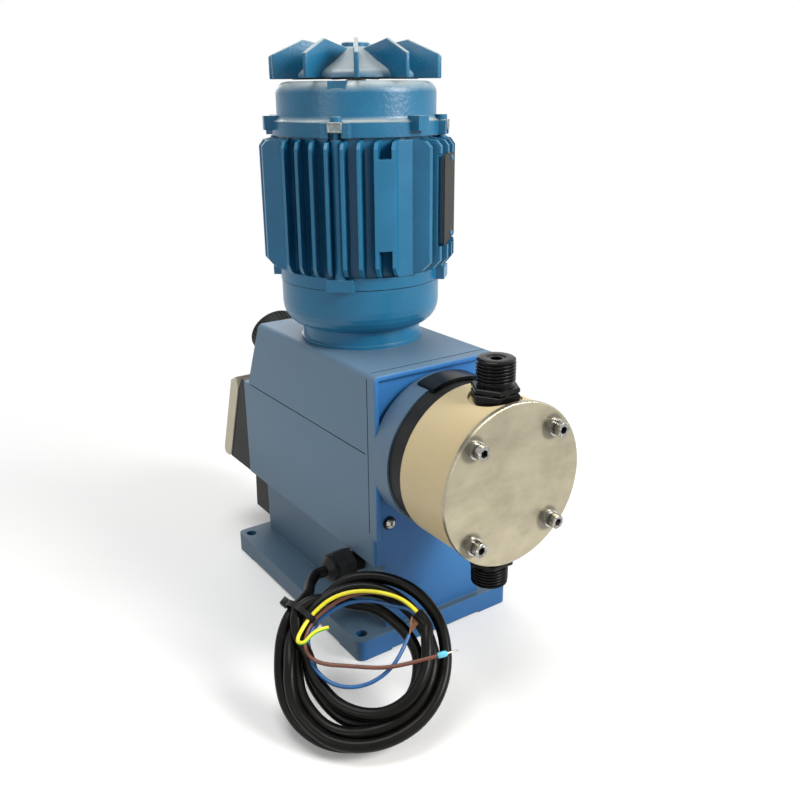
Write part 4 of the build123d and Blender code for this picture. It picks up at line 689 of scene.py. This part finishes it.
# Painted reflection: a dark patch beside each cover screw, 3 mm to -X and 1 mm up, stands in for the screw head's dark
# reflection in the plate.
tree = plate_steel.node_tree
shader = tree.nodes["Principled BSDF"]
place = tree.nodes.new("ShaderNodeTexCoord")
parts = tree.nodes.new("ShaderNodeSeparateXYZ")
tree.links.new(place.outputs["Object"], parts.inputs["Vector"])
squares = []
for axis, shift in (("X", 0.0030), ("Z", -HEAD_AXIS_Z - 0.0010)):
    steps = [(tree.nodes.new("ShaderNodeMath"), operation) for operation in ("ADD", "ABSOLUTE", "SUBTRACT", "POWER")]
    feed = parts.outputs[axis]
    for (step, operation), value in zip(steps, (shift, 0.0, 0.03465, 2.0)):
        step.operation = operation
        step.inputs[1].default_value = value
        tree.links.new(feed, step.inputs[0])
        feed = step.outputs[0]
    squares.append(feed)
total = tree.nodes.new("ShaderNodeMath")
tree.links.new(squares[0], total.inputs[0])
tree.links.new(squares[1], total.inputs[1])
near_screw = tree.nodes.new("ShaderNodeMapRange")
near_screw.interpolation_type = "SMOOTHSTEP"
near_screw.inputs["From Min"].default_value = 0.0075 ** 2
near_screw.inputs["From Max"].default_value = 0.0108 ** 2
near_screw.inputs["To Min"].default_value = 0.75
near_screw.inputs["To Max"].default_value = 0.0
tree.links.new(total.outputs[0], near_screw.inputs["Value"])
screw_reflection = tree.nodes.new("ShaderNodeMix")
screw_reflection.data_type = "RGBA"
screw_reflection.inputs[7].default_value = (0.12, 0.115, 0.095, 1)
tree.links.new(near_screw.outputs["Result"], screw_reflection.inputs["Factor"])
tree.links.new(shader.inputs["Base Color"].links[0].from_socket, screw_reflection.inputs[6])
tree.links.new(screw_reflection.outputs[2], shader.inputs["Base Color"])
paint_node("end_plate", plate_steel)

# ---- Cover screws -----------------------------------------------------------
# Four M6 socket-head screws with plain washers clamp plate, head and ring together,
# and two cross-head screws hold the front wall.
# The socket steel is darker than the bright steel as painted reflection: it stands in for dark surroundings mirrored in
# the heads.
socket_steel = surface("socket_steel", (0.40, 0.39, 0.37), (0.31, 0.30, 0.28), 0.24, metallic=1.0, mottle=90,
                       bump=0.005, grain=1600)
socket_dark = surface("socket_dark", (0.035, 0.034, 0.032), (0.06, 0.058, 0.055), 0.5, metallic=0.6, mottle=300)


def socket_screw(name, across, high):
    """Socket head: a ring bridged to a hexagon, its hexagon pushed in and its rim down."""
    deselect()
    bpy.ops.mesh.primitive_circle_add(vertices=48, radius=across / 2 - 0.0004, location=(0, 0, high))
    rim = name_it(name, socket_steel)
    rim.data.materials.append(socket_dark)
    deselect()
    bpy.ops.mesh.primitive_circle_add(vertices=6, radius=0.00295, location=(0, 0, high))
    hexagon = name_it(name + "_hexagon")
    head = joined(name, [rim, hexagon])
    bpy.ops.object.mode_set(mode="EDIT")
    bpy.ops.mesh.select_all(action="SELECT")
    bpy.ops.mesh.bridge_edge_loops()
    bpy.ops.object.mode_set(mode="OBJECT")
    for vertex in head.data.vertices:
        vertex.select = vertex.co.xy.length < 0.0031
    bpy.ops.object.mode_set(mode="EDIT")
    bpy.ops.mesh.select_mode(type="VERT")
    bpy.ops.mesh.extrude_edges_move(TRANSFORM_OT_translate={"value": (0, 0, -0.0033)})
    head.active_material_index = 1
    bpy.ops.mesh.select_more()
    bpy.ops.mesh.edge_face_add()
    bpy.ops.object.mode_set(mode="OBJECT")
    for vertex in head.data.vertices:
        vertex.select = vertex.co.xy.length > 0.0033
    bpy.ops.object.mode_set(mode="EDIT")
    bpy.ops.mesh.extrude_edges_move(TRANSFORM_OT_translate={"value": (0, 0, -0.0004)})
    grow = across / 2 / (across / 2 - 0.0004)
    bpy.ops.transform.resize(value=(grow, grow, 1), center_override=(0, 0, high - 0.0004))
    bpy.ops.mesh.extrude_edges_move(TRANSFORM_OT_translate={"value": (0, 0, -high + 0.0004)})
    bpy.ops.mesh.select_all(action="SELECT")
    bpy.ops.mesh.normals_make_consistent(inside=False)
    bpy.ops.object.mode_set(mode="OBJECT")
    for face in head.data.polygons:
        if face.center.xy.length < 0.0027:
            face.material_index = 1
    bpy.ops.object.shade_smooth_by_angle(angle=math.radians(35))
    return head


cover_screws = []
for index, (x, z) in enumerate(((-1, 1), (1, 1), (1, -1), (-1, -1))):
    screw = socket_screw(f"cover_screw_{index}", 0.0102, 0.0069)
    screw.data.transform(Matrix.Translation((x * 0.03465, -0.1950, HEAD_AXIS_Z + z * 0.03465))
                         @ Matrix.Rotation(math.radians(90), 4, "X") @ Matrix.Rotation(0.7 * index, 4, "Z"))
    cover_screws.append(screw)
cover_screws = joined("cover_screws", cover_screws)
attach(cover_screws, "frame")
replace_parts(cover_screws, "head_screws")

front_screws = []
for side in (-1, 1):
    screw = turned(f"front_screw_{side}", [
        (0.0021, -0.0070), (0.0021, 0.0), (0.0042, 0.0), (0.0042, 0.0013), (0.0039, 0.0021), (0.0031, 0.0027),
        (0.0018, 0.0030), (0.00002, 0.00305)], 32, socket_steel)
    deselect()
    bpy.ops.mesh.primitive_cube_add(size=1, location=(0, 0, 0.0030), scale=(0.0044, 0.0009, 0.0022))
    slot_a = name_it("slot_a", socket_dark)
    deselect()
    bpy.ops.mesh.primitive_cube_add(size=1, location=(0, 0, 0.0030), scale=(0.0009, 0.0044, 0.0022))
    slot_b = name_it("slot_b", socket_dark)
    for cutter in (slot_a, slot_b):
        cut = screw.modifiers.new("cross", "BOOLEAN")
        cut.object = cutter
        cut.solver = "EXACT"
        deselect()
        bpy.context.view_layer.objects.active = screw
        screw.select_set(True)
        bpy.ops.object.modifier_apply(modifier=cut.name)
        bpy.data.objects.remove(cutter)
    screw.data.transform(Matrix.Translation((side * 0.0415, -0.1035, 0.108))
                         @ Matrix.Rotation(math.radians(90), 4, "X") @ Matrix.Rotation(0.5, 4, "Z"))
    front_screws.append(screw)
front_screws = joined("front_screws", front_screws)
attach(front_screws, "frame")
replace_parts(front_screws, "wall_screws")

# ---- Ball valves ------------------------------------------------------------
# Moulded black valve bodies: a two-step hexagon, a stem with a G 3/4 pipe thread
# and a stepped flow bore. They are screwed into the head's flats.
VALVE_Y = -0.1705
valve_black = moulded_black("valve_black", 0.25, 0.004, 0.06, specular=0.17)
THREAD_PITCH = 0.0023


def valve_piece(name, side):
    low_hex = 0.0 if side > 0 else 0.0024
    stem = turned(f"{name}_stem", [
        (0.0040, 0.0585), (0.0040, 0.0836), (0.0062, 0.0838), (0.0066, 0.0843), (0.0078, 0.0845),
        (0.0121, 0.0845), (0.0131, 0.0838), (0.0131, 0.0829), (0.0117, 0.0822), (0.0117, 0.0668 + low_hex),
        (0.0127, 0.0660 + low_hex), (0.0127, 0.0650 + low_hex), (0.0140, 0.0648 + low_hex), (0.0140, 0.0556), (0.0129, 0.0555),
        (0.0129, 0.0270), (0.0075, 0.0265), (0.0075, 0.0425), (0.0040, 0.0430), (0.0040, 0.0585)],
        64, valve_black)
    pieces = [stem]
    for low, high in ((0.0555, 0.0611 + low_hex), (0.0621 + low_hex, 0.0655 + low_hex)):
        hexagon = turned(f"{name}_hex", [
            (0.0130, low), (0.0166, low), (0.01732, low + 0.0006), (0.01732, high - 0.0006),
            (0.0166, high), (0.0130, high)], 6, valve_black, 20)
        hexagon.data.transform(Matrix.Rotation(math.radians(30), 4, "Z"))
        pieces.append(hexagon)
    deselect()
    bpy.ops.mesh.primitive_circle_add(vertices=3, radius=0.0012, location=(0.01225, 0, 0.0678 + low_hex),
                                      rotation=(math.radians(90), math.radians(90), 0))
    ridge = name_it(f"{name}_ridge", valve_black)
    helix = ridge.modifiers.new("helix", "SCREW")
    helix.axis = "Z"
    helix.screw_offset = THREAD_PITCH
    helix.iterations = 6 if side > 0 else 5
    helix.steps = 48
    helix.render_steps = 48
    bpy.ops.object.modifier_apply(modifier="helix")
    bpy.ops.object.mode_set(mode="EDIT")
    bpy.ops.mesh.select_all(action="SELECT")
    bpy.ops.mesh.normals_make_consistent(inside=False)
    bpy.ops.object.mode_set(mode="OBJECT")
    pieces.append(ridge)
    valve = joined(name, pieces)
    place = Matrix.Translation((0, VALVE_Y, HEAD_AXIS_Z))
    if side < 0:
        place = place @ Matrix.Rotation(math.pi, 4, "Y")
    valve.data.transform(place)
    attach(valve, "frame")
    return valve


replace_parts(valve_piece("discharge_valve", 1), "discharge_valve_body")
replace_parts(valve_piece("suction_valve", -1), "suction_valve_body")

# ---- Motor ------------------------------------------------------------------
# Cast aluminium motor in a deep blue paint. Dust lies on the shoulders of the end
# shield and on the fan's cone.
MOTOR_Y = -0.004
motor_paint = surface("motor_paint", (0.006, 0.120, 0.245), (0.014, 0.165, 0.325), 0.34, mottle=22, bump=0.30,
                      grain=430, coat=0.1, contrast=0.5, edge=((0.12, 0.30, 0.38), 0.0008, 1.1), specular=0.4)
dusty_paint = surface("dusty_paint", (0.008, 0.120, 0.235), (0.016, 0.160, 0.310), 0.34, mottle=26, bump=0.55,
                      grain=430, dust=((0.36, 0.41, 0.41), 0.05, 0.40, 0.95), contrast=0.5,
                      edge=((0.20, 0.32, 0.36), 0.0008, 1.2), specular=0.4)
for painted in ("motor_body", "lower_shield"):
    paint_node(painted, motor_paint)
for painted in ("upper_shield", "fan", "fan_retainer"):
    paint_node(painted, dusty_paint)

shield_dome = turned("shield_dome", [
    (0.0632, 0.3921), (0.0620, 0.3924), (0.0608, 0.3932), (0.0600, 0.3944), (0.0597, 0.3960), (0.0597, 0.4112), (0.05943, 0.41327), (0.05863, 0.4152),
    (0.05736, 0.41686), (0.0557, 0.41813), (0.05377, 0.41893), (0.0517, 0.4192), (0.0200, 0.4192),
    (0.0200, 0.4190)], 120, dusty_paint, 60)
shield_dome.data.transform(Matrix.Translation((0, MOTOR_Y, 0)))
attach(shield_dome, "frame")

# ---- Fan --------------------------------------------------------------------
# One plastic moulding in the motor's colour, pressed on the shaft: a bell-shaped hub
# with eleven flat blades. Its cowl is missing.
fan_hub = turned("fan_hub", [
    (0.0445, 0.4212), (0.0462, 0.4213), (0.0458, 0.4240), (0.0430, 0.4268), (0.0370, 0.4294), (0.0300, 0.4325),
    (0.0230, 0.4360), (0.0165, 0.4394), (0.0122, 0.4414), (0.0104, 0.4426), (0.0104, 0.4452), (0.0098, 0.4458),
    (0.0074, 0.4458), (0.0070, 0.4454), (0.0056, 0.4380), (0.0056, 0.4212), (0.0110, 0.4212), (0.0110, 0.4320),
    (0.0170, 0.4340), (0.0290, 0.4286), (0.0400, 0.4238), (0.0445, 0.4212)], 72, dusty_paint)
fan_parts = [fan_hub]
for index in range(11):
    deselect()
    bpy.ops.mesh.primitive_cube_add(size=1, location=(0.03655, 0, 0.4340), scale=(0.0567, 0.0031, 0.0260))
    blade = name_it(f"fan_blade_{index}", dusty_paint)
    bpy.ops.object.mode_set(mode="EDIT")
    for corner, slope in (((0.0649, 0, 0.4370), (0.394, 0, 0.919)), ((0.0087, 0, 0.4410), (-0.18, 0, 0.984))):
        bpy.ops.mesh.select_all(action="SELECT")
        bpy.ops.mesh.bisect(plane_co=corner, plane_no=slope, use_fill=True, clear_outer=True)
    bpy.ops.object.mode_set(mode="OBJECT")
    rounded(blade, 0.0009, 3)
    turn = math.radians(-121.4 + 360 * index / 11)
    blade.data.transform(Matrix.Rotation(turn, 4, "Z"))
    fan_parts.append(blade)
fan_moulding = joined("fan_moulding", fan_parts)
fan_moulding.data.transform(Matrix.Translation((0, MOTOR_Y, 0)))
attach(fan_moulding, "motor_rotor")
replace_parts(fan_moulding, "fan")

# ---- Clamps, seam and rating plate ------------------------------------------
# Bare clamp plates on the lugs of the end shield, the joint to the lower shield, and
# a blank dark plate with two painted screws.
clamp_metal = surface("clamp_metal", (0.30, 0.32, 0.31), (0.14, 0.19, 0.20), 0.5, metallic=0.7, mottle=190,
                      bump=0.2, grain=900, edge=((0.6, 0.6, 0.57), 0.0005, 0.9))
clamps = []
for quarter in range(4):
    deselect()
    bpy.ops.mesh.primitive_cube_add(size=1, location=(0.0667, 0, 0.3890), scale=(0.0056, 0.0104, 0.0070))
    clamp = name_it(f"lug_clamp_{quarter}", clamp_metal)
    bpy.ops.object.mode_set(mode="EDIT")
    bpy.ops.mesh.select_all(action="DESELECT")
    bpy.ops.object.mode_set(mode="OBJECT")
    for face in clamp.data.polygons:
        face.select = face.normal.x > 0.9
    bpy.ops.object.mode_set(mode="EDIT")
    bpy.ops.mesh.inset(thickness=0.0010)
    bpy.ops.mesh.extrude_region_move(TRANSFORM_OT_translate={"value": (-0.0007, 0, 0)})
    bpy.ops.object.mode_set(mode="OBJECT")
    rounded(clamp, 0.00035, 2)
    clamp.data.transform(Matrix.Translation((0, MOTOR_Y, 0)) @ Matrix.Rotation(math.radians(45 + 90 * quarter), 4, "Z"))
    clamps.append(clamp)
clamps = joined("lug_clamps", clamps)
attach(clamps, "frame")
paint_node("tie_bolts", dusty_paint)
deselect()
shield_seam = turned("shield_seam", [
    (0.0615, 0.2746), (0.0622, 0.2746), (0.06255, 0.2750), (0.0622, 0.2754), (0.0615, 0.2754)], 96, seam_rubber)
shield_seam.data.transform(Matrix.Translation((0, MOTOR_Y, 0)))
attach(shield_seam, "frame")

plate_dark = surface("plate_dark", (0.022, 0.022, 0.021), (0.045, 0.044, 0.040), 0.62, mottle=60, bump=0.05,
                     specular=0.08)
paint_node("rating_plate", plate_dark)
plate_screws = []
for side in (-1, 1):
    screw = turned(f"plate_screw_{side}", [
        (0.0012, -0.0004), (0.0026, -0.0002), (0.0026, 0.0006), (0.0022, 0.0012), (0.0013, 0.0016),
        (0.00002, 0.0017)], 24, motor_paint)
    screw.data.transform(Matrix.Translation((0, MOTOR_Y, 0)) @ Matrix.Rotation(math.radians(-45), 4, "Z")
                         @ Matrix.Translation((0.0710, 0.006, 0.3365 + side * 0.0285))
                         @ Matrix.Rotation(math.radians(90), 4, "Y"))
    plate_screws.append(screw)
plate_screws = joined("plate_screws", plate_screws)
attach(plate_screws, "frame")

# ---- Terminal box, gland and knob -------------------------------------------
# Black moulded terminal box with a beige lid, the cable gland on the side wall, and
# the ribbed knob of the stroke adjuster.
box_black = moulded_black("box_black", 0.48, 0.012, 0.15)
for moulded in ("terminal_box", "cable_gland", "gland_nut", "stroke_knob"):
    paint_node(moulded, box_black)
lid_beige = surface("lid_beige", (0.56, 0.51, 0.37), (0.64, 0.59, 0.44), 0.45, mottle=30, bump=0.08, grain=800,
                    edge=((0.75, 0.70, 0.55), 0.001, 0.7))
paint_node("terminal_lid", lid_beige)
